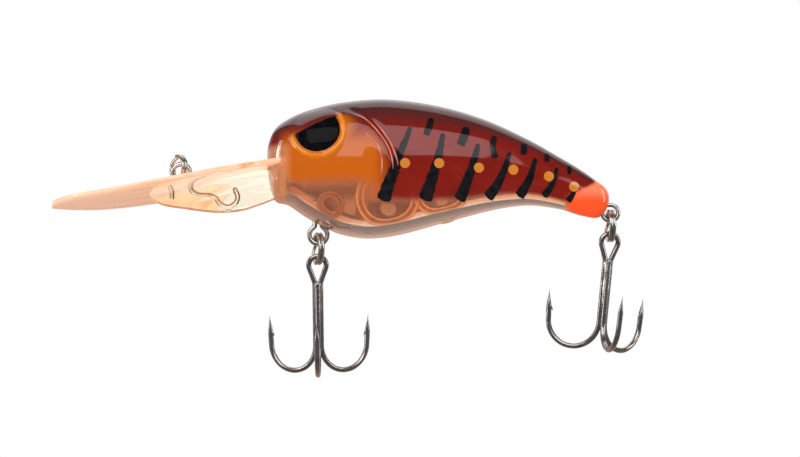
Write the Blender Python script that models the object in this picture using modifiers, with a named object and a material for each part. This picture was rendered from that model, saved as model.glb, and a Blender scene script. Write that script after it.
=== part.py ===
"""Deep-diving crankbait lure: two clear body shells round a lip, rattle balls, wire hangers and treble hooks.

Metres, +Z up. The nose points to -X and the tail to +X. The origin is the centre of the line
tie's arch, on the parting plane. Sizes below are in millimetres and become metres through MM.
"""

import math

import bmesh
import bpy
from mathutils import Matrix, Vector

MM = 0.001

# Body, as height of the back and belly lines and half width, each against distance along X.
NOSE_X = 15.0
TAIL_X = 74.7
BACK_LINE = (
    (15.0, 2.6), (16.1, 7.1), (18.8, 9.4), (23.0, 11.1), (28.5, 12.3), (35.6, 12.8), (44.0, 11.8),
    (52.3, 9.5), (60.7, 5.7), (66.3, 2.5), (71.9, -1.1), (73.6, -2.3), (74.7, -4.5),
)
BELLY_LINE = (
    (15.0, 2.6), (16.2, -4.6), (18.8, -5.8), (21.6, -7.7), (24.5, -9.4), (28.0, -10.9), (32.8, -11.6),
    (38.4, -10.9), (46.8, -8.6), (55.0, -6.5), (60.7, -5.8), (66.3, -6.5), (70.0, -7.6), (73.0, -7.8),
    (74.7, -4.5),
)
HALF_WIDTH = (
    (15.0, 0.0), (16.1, 3.3), (18.8, 5.2), (23.0, 6.6), (29.0, 7.6), (35.0, 7.8), (42.0, 7.3),
    (50.0, 6.0), (58.0, 4.5), (66.0, 3.1), (71.9, 2.2), (73.6, 1.6), (74.7, 0.0),
)
BODY_SQUARENESS = 2.2
BODY_STATIONS = 26
BODY_RING_POINTS = 26
END_CAP_ANGLE = 0.07
SEAM_GAP = 0.1

WALL = 1.3
HEAD_WALL_EXTRA = 0.9
HEAD_WALL_START_X = 22.0
HEAD_WALL_END_X = 30.0
CAVITY_START_X = 17.5
CAVITY_END_X = 66.0
CAVITY_STATIONS = 17
CAVITY_RING_POINTS = 18

# Rattle chambers: centre X, centre Z, bore radius, wall outer radius, ball radius.
CHAMBERS = (
    ("large_rattle_ball", 36.1, -5.25, 4.1, 5.1, 3.55),
    ("small_rattle_ball", 45.3, -3.7, 3.7, 4.6, 3.18),
)
BALL_REST_GAP = 0.1
CHAMBER_STEPS = 20

# Pegs that locate the shells. The first also locks the lip.
PEG_PLACES = ((19.4, -2.4), (41.5, 8.4), (62.5, -0.8))
PEG_RADIUS = 0.85
PEG_REACH = 2.6
PEG_ROOT = 3.0
PEG_CLEARANCE = 0.1
PEG_BOSS_RADIUS = 1.7

# Lip, as height of its middle and half width against distance along X.
LIP_TIP_X = -22.5
LIP_END_X = 18.7
LIP_MIDDLE = (
    (-22.5, -5.9), (-14.6, -4.9), (-6.3, -3.7), (2.1, -2.06), (7.7, -0.6), (11.9, 0.45), (18.7, 1.8),
)
LIP_HALF_WIDTH = (
    (-22.5, 0.0), (-21.6, 3.6), (-17.4, 8.3), (-12.0, 10.6), (-4.0, 12.0), (2.1, 11.6), (7.7, 8.9),
    (11.9, 6.2), (15.0, 4.9), (18.7, 4.4),
)
LIP_THICKNESS = ((-22.5, 0.9), (-10.0, 1.1), (5.0, 1.25), (18.7, 1.4))
LIP_STATIONS = 20
LIP_RING_POINTS = 16
LIP_SQUARENESS = 5.0

# Keel: the upright web under the lip, whose rear end is the tongue between the shells.
KEEL_THICKNESS = 2.4
KEEL_OUTLINE = (
    (-6.0, -3.9), (-3.6, -5.6), (1.0, -6.4), (4.5, -6.9), (7.7, -7.05), (11.0, -6.6), (14.0, -5.6),
    (17.0, -4.6), (21.4, -4.8), (21.4, 0.4), (11.9, 0.3), (4.9, -1.35), (-2.0, -3.0),
)
TONGUE_CLEARANCE = 0.12

# Eyes.
EYE_X = 23.9
EYE_Z = 6.6
EYE_RADIUS = 3.9
EYE_HALF_THICKNESS = 0.95
EYE_SINK = 0.5
EYE_CLEARANCE = 0.1

# Line tie: a wire staple moulded into the lip, whose rear leg hooks round inside the keel.
TIE_WIRE_RADIUS = 0.45
TIE_HALF_GAP = 1.5
TIE_FRONT_LEG_END = -4.3
TIE_ANCHOR = (
    (1.5, -2.2), (2.0, -3.3), (3.2, -3.9), (4.8, -4.0), (6.1, -4.6), (6.9, -5.5), (8.2, -6.05),
    (9.5, -5.4), (9.9, -4.2), (9.4, -3.1),
)
WIRE_CLEARANCE = 0.06

# Hangers: wire loops with two legs turned out inside the shells.
HANGER_NECK = 0.62
HANGER_FOOT = 1.5
BELLY_HANGER = {"centre": (24.0, -11.0), "radius": 1.55, "wire": 0.43, "rise": 4.6, "lean": 0.0}
TAIL_HANGER = {"centre": (74.9, -7.1), "radius": 1.4, "wire": 0.4, "rise": 5.4, "lean": 50.0}
HANGER_BOSS_CENTRE = (24.0, -7.4)
HANGER_BOSS_HALF_SIZE = (2.9, 1.9, 1.9)

# Split rings: two flat turns joined by a step.
RING_WIRE_RADIUS = 0.275
RING_TURN_SPACING = 0.58
RING_STEP_HALF_ANGLE = 30.0
RING_POINT_ANGLE = 18.0
HOOK_RING_INNER_RADIUS = 2.3
TIE_RING_INNER_RADIUS = 2.0
RING_PLAY = 1.0
TIE_RING_PLAY = 0.35
TIE_RING_FLOOR_GAP = 0.12

# Hooks.
HOOK_WIRE_RADIUS = 0.47
SHANK_GAP = 0.05
HOOK_EYE_RADIUS = 1.53
HOOK_EYE_PLAY = 0.5
HOOK_EYE_EXIT_ANGLE = 20.0
HOOK_LENGTH = 21.1
BEND_RADIUS = 4.55
POINT_HEIGHT = 9.8
POINT_FLARE = 0.3
POINT_TAPER_LENGTH = 2.4
POINT_TIP_SCALE = 0.12
HOOK_AZIMUTHS = (-120.0, 120.0)

# Rest attitude of each hook chain, in degrees.
BELLY_CHAIN = {"yaw": 14.0, "tilt": 12.0, "swing": -3.7, "turn": -14.0}
TAIL_CHAIN = {"yaw": 8.0, "tilt": 8.0, "swing": 4.6, "turn": 7.0}
TIE_RING_YAW = 30.0


def clear_scene():
    for obj in list(bpy.data.objects):
        bpy.data.objects.remove(obj, do_unlink=True)


def new_collection(name):
    collection = bpy.data.collections.new(name)
    bpy.context.scene.collection.children.link(collection)
    return collection


def finish(name, colour, roughness, metallic=0.0):
    material = bpy.data.materials.new(name)
    material.use_nodes = True
    shader = material.node_tree.nodes["Principled BSDF"]
    shader.inputs["Base Color"].default_value = (*colour, 1.0)
    shader.inputs["Roughness"].default_value = roughness
    shader.inputs["Metallic"].default_value = metallic
    return material


def smooth_value(points, warp, at):
    """Catmull-Rom value at a position, on hand-set points spaced by the warp of their position."""
    stops = [warp(position) for position, _ in points]
    values = [value for _, value in points]
    place = warp(at)
    last = len(stops) - 1
    span = max(0, min(last - 1, sum(stop <= place for stop in stops) - 1))
    before, after = max(span - 1, 0), min(span + 2, last)
    width = stops[span + 1] - stops[span]
    t = (place - stops[span]) / width
    slope_in = (values[span + 1] - values[before]) / (stops[span + 1] - stops[before]) * width
    slope_out = (values[after] - values[span]) / (stops[after] - stops[span]) * width
    return (
        (2 * t**3 - 3 * t**2 + 1) * values[span]
        + (t**3 - 2 * t**2 + t) * slope_in
        + (3 * t**2 - 2 * t**3) * values[span + 1]
        + (t**3 - t**2) * slope_out
    )


def body_warp(x):
    """Angle that runs from 0 at the nose to pi at the tail, which rounds both ends."""
    share = (x - NOSE_X) / (TAIL_X - NOSE_X)
    return math.acos(max(-1.0, min(1.0, 1.0 - 2.0 * share)))


def lip_warp(x):
    """Square root of the distance from the lip's tip, which rounds the tip."""
    return math.sqrt(max(0.0, x - LIP_TIP_X))


def body_section(x):
    """Middle height, half height and half width of the body at x."""
    back = smooth_value(BACK_LINE, body_warp, x)
    belly = smooth_value(BELLY_LINE, body_warp, x)
    width = smooth_value(HALF_WIDTH, body_warp, x)
    return (back + belly) / 2, (back - belly) / 2, width


def wall_at(x):
    """Wall thickness: thicker in the head, where the eyes are sunk."""
    share = (HEAD_WALL_END_X - x) / (HEAD_WALL_END_X - HEAD_WALL_START_X)
    share = max(0.0, min(1.0, share))
    return WALL + HEAD_WALL_EXTRA * share * share * (3 - 2 * share)


def rounded_ring(x, middle, half_height, half_width, squareness, count):
    """Points round one upright section, as a superellipse."""
    ring = []
    for index in range(count):
        angle = 2 * math.pi * index / count
        side, rise = math.cos(angle), math.sin(angle)
        y = half_width * math.copysign(abs(side) ** (2 / squareness), side)
        z = middle + half_height * math.copysign(abs(rise) ** (2 / squareness), rise)
        ring.append(Vector((x, y, z)) * MM)
    return ring


def loft(name, rings, collection, material=None):
    """Closed skin through rings that run along +X, with flat end caps."""
    mesh = bpy.data.meshes.new(name)
    shape = bmesh.new()
    rows = [[shape.verts.new(point) for point in ring] for ring in rings]
    count = len(rows[0])
    for row, following in zip(rows, rows[1:]):
        for index in range(count):
            after = (index + 1) % count
            shape.faces.new((row[index], row[after], following[after], following[index]))
    shape.faces.new(list(reversed(rows[0])))
    shape.faces.new(rows[-1])
    bmesh.ops.recalc_face_normals(shape, faces=shape.faces)
    shape.to_mesh(mesh)
    shape.free()
    return place(name, mesh, collection, material)


def place(name, mesh, collection, material=None):
    obj = bpy.data.objects.new(name, mesh)
    if material:
        mesh.materials.append(material)
    collection.objects.link(obj)
    return obj


def soften(obj, angle=35.0):
    obj.data.shade_smooth()
    obj.data.set_sharp_from_angle(angle=math.radians(angle))


def as_cutter(obj):
    obj.hide_render = True
    obj.display_type = "WIRE"
    return obj


def combine(obj, other, operation):
    """Live exact Boolean of one object with another."""
    modifier = obj.modifiers.new(f"{operation.lower()}_{other.name}", "BOOLEAN")
    modifier.operation = operation
    modifier.solver = "EXACT"
    modifier.object = other


def cylinder_across(name, x, z, radius, y_from, y_to, collection):
    """Cylinder along Y, from one side distance to another."""
    mesh = bpy.data.meshes.new(name)
    shape = bmesh.new()
    bmesh.ops.create_cone(
        shape, cap_ends=True, segments=CHAMBER_STEPS, radius1=radius * MM, radius2=radius * MM,
        depth=(y_to - y_from) * MM,
    )
    shape.to_mesh(mesh)
    shape.free()
    obj = place(name, mesh, collection)
    obj.location = Vector((x, (y_from + y_to) / 2, z)) * MM
    obj.rotation_euler = (math.radians(90), 0, 0)
    return obj


def block(name, centre, half_size, collection):
    mesh = bpy.data.meshes.new(name)
    shape = bmesh.new()
    bmesh.ops.create_cube(shape, size=2.0)
    bmesh.ops.scale(shape, verts=shape.verts, vec=Vector(half_size) * MM)
    shape.to_mesh(mesh)
    shape.free()
    obj = place(name, mesh, collection)
    obj.location = Vector(centre) * MM
    return obj


def turned_ring(name, x, z, inner, outer, half_length, collection):
    """Round wall along Y, turned from a rectangle."""
    mesh = bpy.data.meshes.new(name)
    shape = bmesh.new()
    corners = ((inner, half_length), (outer, half_length), (outer, -half_length), (inner, -half_length))
    verts = [shape.verts.new(Vector((radius, 0, height)) * MM) for radius, height in corners]
    for index, vert in enumerate(verts):
        shape.edges.new((vert, verts[(index + 1) % len(verts)]))
    shape.to_mesh(mesh)
    shape.free()
    obj = place(name, mesh, collection)
    screw = obj.modifiers.new("turn", "SCREW")
    screw.steps = CHAMBER_STEPS
    screw.render_steps = CHAMBER_STEPS
    screw.use_merge_vertices = True
    screw.merge_threshold = 1e-6
    obj.location = Vector((x, 0, z)) * MM
    obj.rotation_euler = (math.radians(90), 0, 0)
    return obj


def wire(name, points, radius, collection, material=None, scales=None):
    """Round wire through points in millimetres, with capped ends. Scales thin it at each point."""
    curve = bpy.data.curves.new(name, "CURVE")
    curve.dimensions = "3D"
    curve.bevel_depth = radius * MM
    curve.bevel_resolution = 2
    curve.use_fill_caps = True
    spline = curve.splines.new("POLY")
    spline.points.add(len(points) - 1)
    for index, point in enumerate(points):
        spline.points[index].co = (*(Vector(point) * MM), 1.0)
        if scales:
            spline.points[index].radius = scales[index]
    obj = bpy.data.objects.new(name, curve)
    if material:
        curve.materials.append(material)
    collection.objects.link(obj)
    return obj


def mesh_from_curve(curve_object, collection):
    """Welded mesh in the place of a curve object, which is removed."""
    bpy.context.view_layer.update()
    evaluated = curve_object.evaluated_get(bpy.context.evaluated_depsgraph_get())
    mesh = bpy.data.meshes.new_from_object(evaluated)
    shape = bmesh.new()
    shape.from_mesh(mesh)
    bmesh.ops.remove_doubles(shape, verts=shape.verts, dist=1e-7)
    bmesh.ops.recalc_face_normals(shape, faces=shape.faces)
    shape.to_mesh(mesh)
    shape.free()
    name = curve_object.name
    matrix = curve_object.matrix_world.copy()
    bpy.data.objects.remove(curve_object, do_unlink=True)
    obj = place(name, mesh, collection)
    obj.matrix_world = matrix
    return obj


def smooth_path(points, steps):
    """Catmull-Rom path through points, with a number of steps to each span."""
    ends = [points[0], *points, points[-1]]
    path = []
    for index in range(len(points) - 1):
        a, b, c, d = (Vector(ends[index + offset]) for offset in range(4))
        for step in range(steps):
            t = step / steps
            path.append(
                0.5 * (2 * b + (c - a) * t + (2 * a - 5 * b + 4 * c - d) * t**2 + (3 * b - a - 3 * c + d) * t**3)
            )
    path.append(Vector(points[-1]))
    return path


def arc(centre_x, centre_z, radius, from_angle, to_angle, steps):
    """Points on an arc in the XZ plane, by angle in degrees from +X towards +Z."""
    points = []
    for step in range(steps + 1):
        angle = math.radians(from_angle + (to_angle - from_angle) * step / steps)
        points.append(Vector((centre_x + radius * math.cos(angle), 0, centre_z + radius * math.sin(angle))))
    return points


def body_rings(start, end, stations, count, inset=False):
    """Sections of the body, or of its hollow, between two places along X."""
    rings = []
    first, last = body_warp(start), body_warp(end)
    for station in range(stations):
        angle = first + (last - first) * station / (stations - 1)
        x = NOSE_X + (TAIL_X - NOSE_X) * (1 - math.cos(angle)) / 2
        middle, half_height, half_width = body_section(x)
        trim = wall_at(x) if inset else 0.0
        rings.append(rounded_ring(x, middle, half_height - trim, half_width - trim, BODY_SQUARENESS, count))
    return rings


def body_cap_offset():
    return (TAIL_X - NOSE_X) * (1 - math.cos(END_CAP_ANGLE)) / 2


def lip_plate(name, growth, collection, material=None):
    """Curved paddle, grown on every side for the slot that holds it."""
    rings = []
    first, last = lip_warp(LIP_TIP_X + 0.05), lip_warp(LIP_END_X + growth)
    for station in range(LIP_STATIONS):
        x = LIP_TIP_X + (first + (last - first) * station / (LIP_STATIONS - 1)) ** 2
        known = min(x, LIP_END_X)
        middle = smooth_value(LIP_MIDDLE, lip_warp, known)
        half_width = smooth_value(LIP_HALF_WIDTH, lip_warp, known) + growth
        half_thickness = smooth_value(LIP_THICKNESS, lip_warp, known) / 2 + growth
        rings.append(rounded_ring(x, middle, half_thickness, half_width, LIP_SQUARENESS, LIP_RING_POINTS))
    return loft(name, rings, collection, material)


def keel_web(name, growth, collection):
    """Upright flat web, extruded from its outline."""
    curve = bpy.data.curves.new(name, "CURVE")
    curve.dimensions = "2D"
    curve.fill_mode = "BOTH"
    curve.extrude = (KEEL_THICKNESS / 2 + growth) * MM
    spline = curve.splines.new("POLY")
    spline.points.add(len(KEEL_OUTLINE) - 1)
    spline.use_cyclic_u = True
    for index, (x, z) in enumerate(KEEL_OUTLINE):
        away_x = growth if x > CAVITY_START_X else 0.0
        away_z = growth if z > -2.0 else -growth
        spline.points[index].co = ((x + away_x) * MM, (z + away_z) * MM, 0, 1)
    obj = bpy.data.objects.new(name, curve)
    collection.objects.link(obj)
    obj.rotation_euler = (math.radians(90), 0, 0)
    return mesh_from_curve(obj, collection)


def line_tie_path():
    rear = [Vector((x, 0, z)) for x, z in TIE_ANCHOR]
    front = [Vector((-TIE_HALF_GAP, 0, TIE_FRONT_LEG_END)), Vector((-TIE_HALF_GAP, 0, -2.0))]
    return front + arc(0, 0, TIE_HALF_GAP, 180, 0, 8) + smooth_path(rear, 3)


def hanger_path(hanger):
    """Loop with a neck of two legs, which turn outward at their ends. The neck points up, then leans."""
    radius = hanger["radius"]
    half_neck = HANGER_NECK
    opening = math.degrees(math.asin(half_neck / radius))
    loop = arc(0, 0, radius, 90 + opening, 450 - opening, 16)
    top = hanger["rise"]
    left = [Vector((-half_neck - HANGER_FOOT, 0, top)), Vector((-half_neck - 0.35, 0, top)),
            Vector((-half_neck, 0, top - 0.35))]
    right = [Vector((-point.x, 0, point.z)) for point in reversed(left)]
    turn = Matrix.Rotation(-math.radians(hanger["lean"]), 3, "Y")
    centre = Vector((hanger["centre"][0], 0, hanger["centre"][1]))
    return [centre + turn @ point for point in left + loop + right]


def make_cavity(cutters):
    """Hollow of the body, less what stands up inside it."""
    cavity = as_cutter(loft(
        "hollow", body_rings(CAVITY_START_X, CAVITY_END_X, CAVITY_STATIONS, CAVITY_RING_POINTS, inset=True), cutters
    ))
    for name, x, z, bore, outer, _ in CHAMBERS:
        tube = as_cutter(turned_ring(f"wall_of_{name}", x, z, bore, outer, 9.0, cutters))
        combine(cavity, tube, "DIFFERENCE")
    for number, (x, z) in enumerate(PEG_PLACES):
        boss = as_cutter(cylinder_across(f"peg_boss_{number}", x, z, PEG_BOSS_RADIUS, -9.0, 9.0, cutters))
        combine(cavity, boss, "DIFFERENCE")
    boss_x, boss_z = HANGER_BOSS_CENTRE
    combine(cavity, as_cutter(block("hanger_boss", (boss_x, 0, boss_z), HANGER_BOSS_HALF_SIZE, cutters)), "DIFFERENCE")
    return cavity


def eye_pose(side):
    """World matrix of an eye, its local Z along the skin's outward normal."""
    def skin(x, z):
        middle, half_height, half_width = body_section(x)
        rise = abs(z - middle) / half_height
        y = half_width * (1 - rise**BODY_SQUARENESS) ** (1 / BODY_SQUARENESS)
        return Vector((x, side * y, z))

    step = 0.5
    along = skin(EYE_X + step, EYE_Z) - skin(EYE_X - step, EYE_Z)
    up = skin(EYE_X, EYE_Z + step) - skin(EYE_X, EYE_Z - step)
    normal = along.cross(up).normalized()
    if normal.y * side < 0:
        normal = -normal
    centre = (skin(EYE_X, EYE_Z) - normal * EYE_SINK) * MM
    return Matrix.Translation(centre) @ normal.to_track_quat("Z", "Y").to_matrix().to_4x4()


def lens(name, side, growth, collection, material=None):
    """Flattened ball: an eye, or the socket that holds it."""
    mesh = bpy.data.meshes.new(name)
    shape = bmesh.new()
    bmesh.ops.create_uvsphere(shape, u_segments=20, v_segments=10, radius=1.0)
    size = Vector((EYE_RADIUS + growth, EYE_RADIUS + growth, EYE_HALF_THICKNESS + growth)) * MM
    bmesh.ops.scale(shape, verts=shape.verts, vec=size)
    shape.to_mesh(mesh)
    shape.free()
    obj = place(name, mesh, collection, material)
    obj.matrix_world = eye_pose(side)
    soften(obj)
    return obj


def make_shell(name, side, parts, cutters, shared, material):
    """One half of the body. side is -1 for the left half and 1 for the right."""
    cap = body_cap_offset()
    shell = loft(name, body_rings(NOSE_X + cap, TAIL_X - cap, BODY_STATIONS, BODY_RING_POINTS), parts, material)
    far_half = block(f"not_{name}", (45.0, -side * (20.0 - SEAM_GAP / 2), 0.0), (40.0, 20.0, 30.0), cutters)
    socket = lens(f"socket_of_{name}", side, EYE_CLEARANCE, cutters)
    for cutter in (far_half, socket):
        combine(shell, as_cutter(cutter), "DIFFERENCE")
    for cutter in shared:
        combine(shell, cutter, "DIFFERENCE")
    soften(shell)
    return shell


def add_pegs(left_shell, right_shell, lip, cutters):
    """Pegs stand on the left shell and enter blind holes in the right one. The first passes through the lip."""
    for number, (x, z) in enumerate(PEG_PLACES):
        peg = as_cutter(cylinder_across(f"peg_{number}", x, z, PEG_RADIUS, -PEG_ROOT, PEG_REACH, cutters))
        combine(left_shell, peg, "UNION")
        hole_radius = PEG_RADIUS + PEG_CLEARANCE
        hole = as_cutter(cylinder_across(f"peg_hole_{number}", x, z, hole_radius, -1.5, PEG_REACH + 0.2, cutters))
        combine(right_shell, hole, "DIFFERENCE")
        if number == 0:
            through = as_cutter(cylinder_across("lip_lock_hole", x, z, hole_radius, -4.0, 4.0, cutters))
            combine(lip, through, "DIFFERENCE")


def make_body(parts, cutters, tie_channel):
    """Both shells, the lip between them and the channels for the wires."""
    clear_red = finish("tinted_body_plastic", (0.35, 0.05, 0.02), 0.12)
    clear_peach = finish("tinted_lip_plastic", (0.95, 0.55, 0.35), 0.12)
    lip = lip_plate("diving_lip", 0.0, parts, clear_peach)
    combine(lip, as_cutter(keel_web("keel", 0.0, cutters)), "UNION")
    combine(lip, tie_channel, "DIFFERENCE")
    soften(lip)
    shared = [
        make_cavity(cutters),
        as_cutter(lip_plate("lip_slot", TONGUE_CLEARANCE, cutters)),
        as_cutter(keel_web("keel_slot", TONGUE_CLEARANCE, cutters)),
    ]
    for name, hanger in (("belly_hanger_channel", BELLY_HANGER), ("tail_hanger_channel", TAIL_HANGER)):
        tube = wire(name, hanger_path(hanger), hanger["wire"] + WIRE_CLEARANCE, cutters)
        shared.append(as_cutter(mesh_from_curve(tube, cutters)))
    left_shell = make_shell("left_body_shell", -1, parts, cutters, shared, clear_red)
    right_shell = make_shell("right_body_shell", 1, parts, cutters, shared, clear_red)
    add_pegs(left_shell, right_shell, lip, cutters)


def make_balls(parts):
    """Steel balls, each lying just clear of its chamber's floor."""
    steel = finish("ball_steel", (0.75, 0.74, 0.72), 0.12, 1.0)
    for name, x, z, bore, _, radius in CHAMBERS:
        mesh = bpy.data.meshes.new(name)
        shape = bmesh.new()
        bmesh.ops.create_uvsphere(shape, u_segments=20, v_segments=12, radius=radius * MM)
        shape.to_mesh(mesh)
        shape.free()
        ball = place(name, mesh, parts, steel)
        ball.location = Vector((x, 0, z - (bore - radius - BALL_REST_GAP))) * MM
        soften(ball)


def ring_path(inner_radius):
    """Two turns in the local YZ plane round the origin, stepping from one turn to the other on the +Y side."""
    radius = inner_radius + RING_WIRE_RADIUS
    first = RING_STEP_HALF_ANGLE - 2
    last = 720 - first
    count = round((last - first) / RING_POINT_ANGLE)
    path = []
    for index in range(count + 1):
        degrees = first + (last - first) * index / count
        share = (degrees - 360 + RING_STEP_HALF_ANGLE) / (2 * RING_STEP_HALF_ANGLE)
        share = max(0.0, min(1.0, share))
        offset = RING_TURN_SPACING * (share * share * (3 - 2 * share) - 0.5)
        angle = math.radians(degrees)
        path.append(Vector((offset, radius * math.cos(angle), radius * math.sin(angle))))
    return path


def split_ring(name, inner_radius, pivot, drop, parts, material):
    """Ring whose origin is on its joint's axis, drop below which its centre lies."""
    path = [point - Vector((0, 0, drop)) for point in ring_path(inner_radius)]
    ring = wire(name, path, RING_WIRE_RADIUS, parts, material)
    ring.parent = pivot
    return ring


def empty(name, collection, location, rotation=None, parent=None):
    obj = bpy.data.objects.new(name, None)
    obj.empty_display_size = 0.002
    collection.objects.link(obj)
    obj.parent = parent
    obj.location = Vector(location) * MM
    if rotation is not None:
        obj.rotation_euler = rotation.to_euler()
    return obj


def hook_half(direction, shank):
    """One hook from its bend's start to its point: points and wire scales."""
    bottom = HOOK_EYE_PLAY + RING_WIRE_RADIUS + 2 * HOOK_WIRE_RADIUS - HOOK_LENGTH
    centre = bottom + HOOK_WIRE_RADIUS + BEND_RADIUS
    profile = [(point.x, point.z) for point in arc(BEND_RADIUS, centre, BEND_RADIUS, 180, 360, 12)]
    tip = (2 * BEND_RADIUS + POINT_FLARE, bottom + POINT_HEIGHT)
    length = math.dist(profile[-1], tip)
    shoulder = 1 - POINT_TAPER_LENGTH / length
    profile.append(tuple(a + (b - a) * shoulder for a, b in zip(profile[-1], tip)))
    profile.append(tip)
    points = [shank + direction * out + Vector((0, 0, height)) for out, height in profile]
    scales = [1.0] * (len(points) - 1) + [POINT_TIP_SCALE]
    return points, scales


def hook_frames():
    """Shank places and outward directions: the two hooks of one wire, then the single one."""
    spread = (2 * HOOK_WIRE_RADIUS + SHANK_GAP) / math.sqrt(3)
    frames = []
    for azimuth in (*HOOK_AZIMUTHS, 0.0):
        angle = math.radians(azimuth)
        direction = Vector((math.sin(angle), -math.cos(angle), 0))
        frames.append((direction * spread, direction))
    level = frames[0][0].y
    return [(shank - Vector((0, level, 0)), direction) for shank, direction in frames]


def double_hook_path():
    """Hook, shank, eye, shank, hook: one bent wire with its eye in the local XZ plane."""
    frames = hook_frames()
    eye_top = RING_WIRE_RADIUS + HOOK_EYE_PLAY + HOOK_WIRE_RADIUS
    eye_centre = eye_top - HOOK_EYE_RADIUS
    loop = arc(0, eye_centre, HOOK_EYE_RADIUS, 180 + HOOK_EYE_EXIT_ANGLE, -HOOK_EYE_EXIT_ANGLE, 14)
    exit_angle = math.radians(HOOK_EYE_EXIT_ANGLE)
    half_shank = abs(frames[0][0].x)
    run = (HOOK_EYE_RADIUS * math.cos(exit_angle) - half_shank) / math.sin(exit_angle)
    throat = eye_centre - HOOK_EYE_RADIUS * math.sin(exit_angle) - run * math.cos(exit_angle)
    left_points, left_scales = hook_half(frames[0][1], frames[0][0])
    right_points, right_scales = hook_half(frames[1][1], frames[1][0])
    left_neck = [Vector((-half_shank, 0, throat - 0.3)), Vector((-half_shank - 0.08, 0, throat + 0.25))]
    right_neck = [Vector((half_shank + 0.08, 0, throat + 0.25)), Vector((half_shank, 0, throat - 0.3))]
    points = left_points[::-1] + left_neck + loop + right_neck + right_points
    scales = left_scales[::-1] + [1.0] * (len(loop) + 4) + right_scales
    return points, scales, throat


def treble(prefix, pivot, parts, material):
    """Double hook with a single hook laid along its shank."""
    points, scales, throat = double_hook_path()
    double = wire(f"{prefix}_double_hook", points, HOOK_WIRE_RADIUS, parts, material, scales)
    shank, direction = hook_frames()[2]
    single_points, single_scales = hook_half(direction, shank)
    top = shank + Vector((0, 0, throat - 0.2))
    single = wire(
        f"{prefix}_single_hook", [top, *single_points], HOOK_WIRE_RADIUS, parts, material, [1.0, *single_scales]
    )
    double.parent = pivot
    single.parent = pivot


def hook_chain(prefix, hanger, chain, parts, materials):
    """Split ring on a hanger and a treble on the ring, each turning on its own pivot."""
    hanger_steel, ring_steel, hook_steel = materials
    wire(f"{prefix}_hanger", hanger_path(hanger), hanger["wire"], parts, hanger_steel)
    x, z = hanger["centre"]
    yaw = Matrix.Rotation(math.radians(chain["yaw"]), 3, "Z")
    tilt = Matrix.Rotation(math.radians(chain["tilt"]), 3, "X")
    ring_pivot = empty(f"{prefix}_ring_pivot", parts, (x, 0, z - hanger["radius"]), yaw @ tilt)
    drop = HOOK_RING_INNER_RADIUS - hanger["wire"] - RING_PLAY
    split_ring(f"{prefix}_split_ring", HOOK_RING_INNER_RADIUS, ring_pivot, drop, parts, ring_steel)
    swing = Matrix.Rotation(math.radians(chain["swing"]), 3, "Y")
    turn = Matrix.Rotation(math.radians(chain["turn"]), 3, "Z")
    hook_drop = drop + HOOK_RING_INNER_RADIUS + RING_WIRE_RADIUS
    hook_pivot = empty(f"{prefix}_hook_pivot", parts, (0, 0, -hook_drop), swing @ turn, ring_pivot)
    treble(prefix, hook_pivot, parts, hook_steel)


def make_line_tie(parts, wire_steel, ring_steel):
    """Staple wire in the lip and the split ring lying over on it."""
    wire("line_tie_wire", line_tie_path(), TIE_WIRE_RADIUS, parts, wire_steel)
    reach = TIE_RING_INNER_RADIUS - TIE_WIRE_RADIUS - TIE_RING_PLAY
    outer = TIE_RING_INNER_RADIUS + 2 * RING_WIRE_RADIUS
    lip_top = smooth_value(LIP_MIDDLE, lip_warp, 0.0) + smooth_value(LIP_THICKNESS, lip_warp, 0.0) / 2
    centre_height = lip_top + TIE_RING_FLOOR_GAP + outer
    lean = math.asin((TIE_HALF_GAP - centre_height) / reach)
    yaw = Matrix.Rotation(math.radians(TIE_RING_YAW), 3, "Z")
    tilt = Matrix.Rotation(math.pi / 2 - lean, 3, "X")
    pivot = empty("line_tie_ring_pivot", parts, (0, 0, TIE_HALF_GAP), yaw @ tilt)
    split_ring("line_tie_split_ring", TIE_RING_INNER_RADIUS, pivot, reach, parts, ring_steel)


def make_eyes(parts):
    black = finish("eye_gloss", (0.02, 0.02, 0.02), 0.08)
    lens("left_eye", -1, 0.0, parts, black)
    lens("right_eye", 1, 0.0, parts, black)


def main():
    clear_scene()
    parts = new_collection("crankbait_lure")
    cutters = new_collection("cutters")
    wire_steel = finish("hanger_wire_nickel", (0.72, 0.70, 0.66), 0.2, 1.0)
    ring_steel = finish("split_ring_nickel", (0.62, 0.60, 0.56), 0.22, 1.0)
    hook_steel = finish("hook_black_nickel", (0.16, 0.15, 0.15), 0.25, 1.0)
    channel = wire("line_tie_channel", line_tie_path(), TIE_WIRE_RADIUS + WIRE_CLEARANCE, cutters)
    make_body(parts, cutters, as_cutter(mesh_from_curve(channel, cutters)))
    make_balls(parts)
    make_eyes(parts)
    make_line_tie(parts, wire_steel, ring_steel)
    hook_chain("belly", BELLY_HANGER, BELLY_CHAIN, parts, (wire_steel, ring_steel, hook_steel))
    hook_chain("tail", TAIL_HANGER, TAIL_CHAIN, parts, (wire_steel, ring_steel, hook_steel))


main()
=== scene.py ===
"""Deep-diving crankbait lure: the finished, painted pieces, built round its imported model.

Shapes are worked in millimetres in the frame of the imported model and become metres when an
object is made. The nose points to -X, the tail to +X and up is +Z. The left side is at -Y.
"""

import logging
import math
from collections.abc import Callable, Iterable, Sequence
from dataclasses import dataclass, field
from enum import Enum

import bmesh
import bpy
from mathutils import Matrix, Vector


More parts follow.
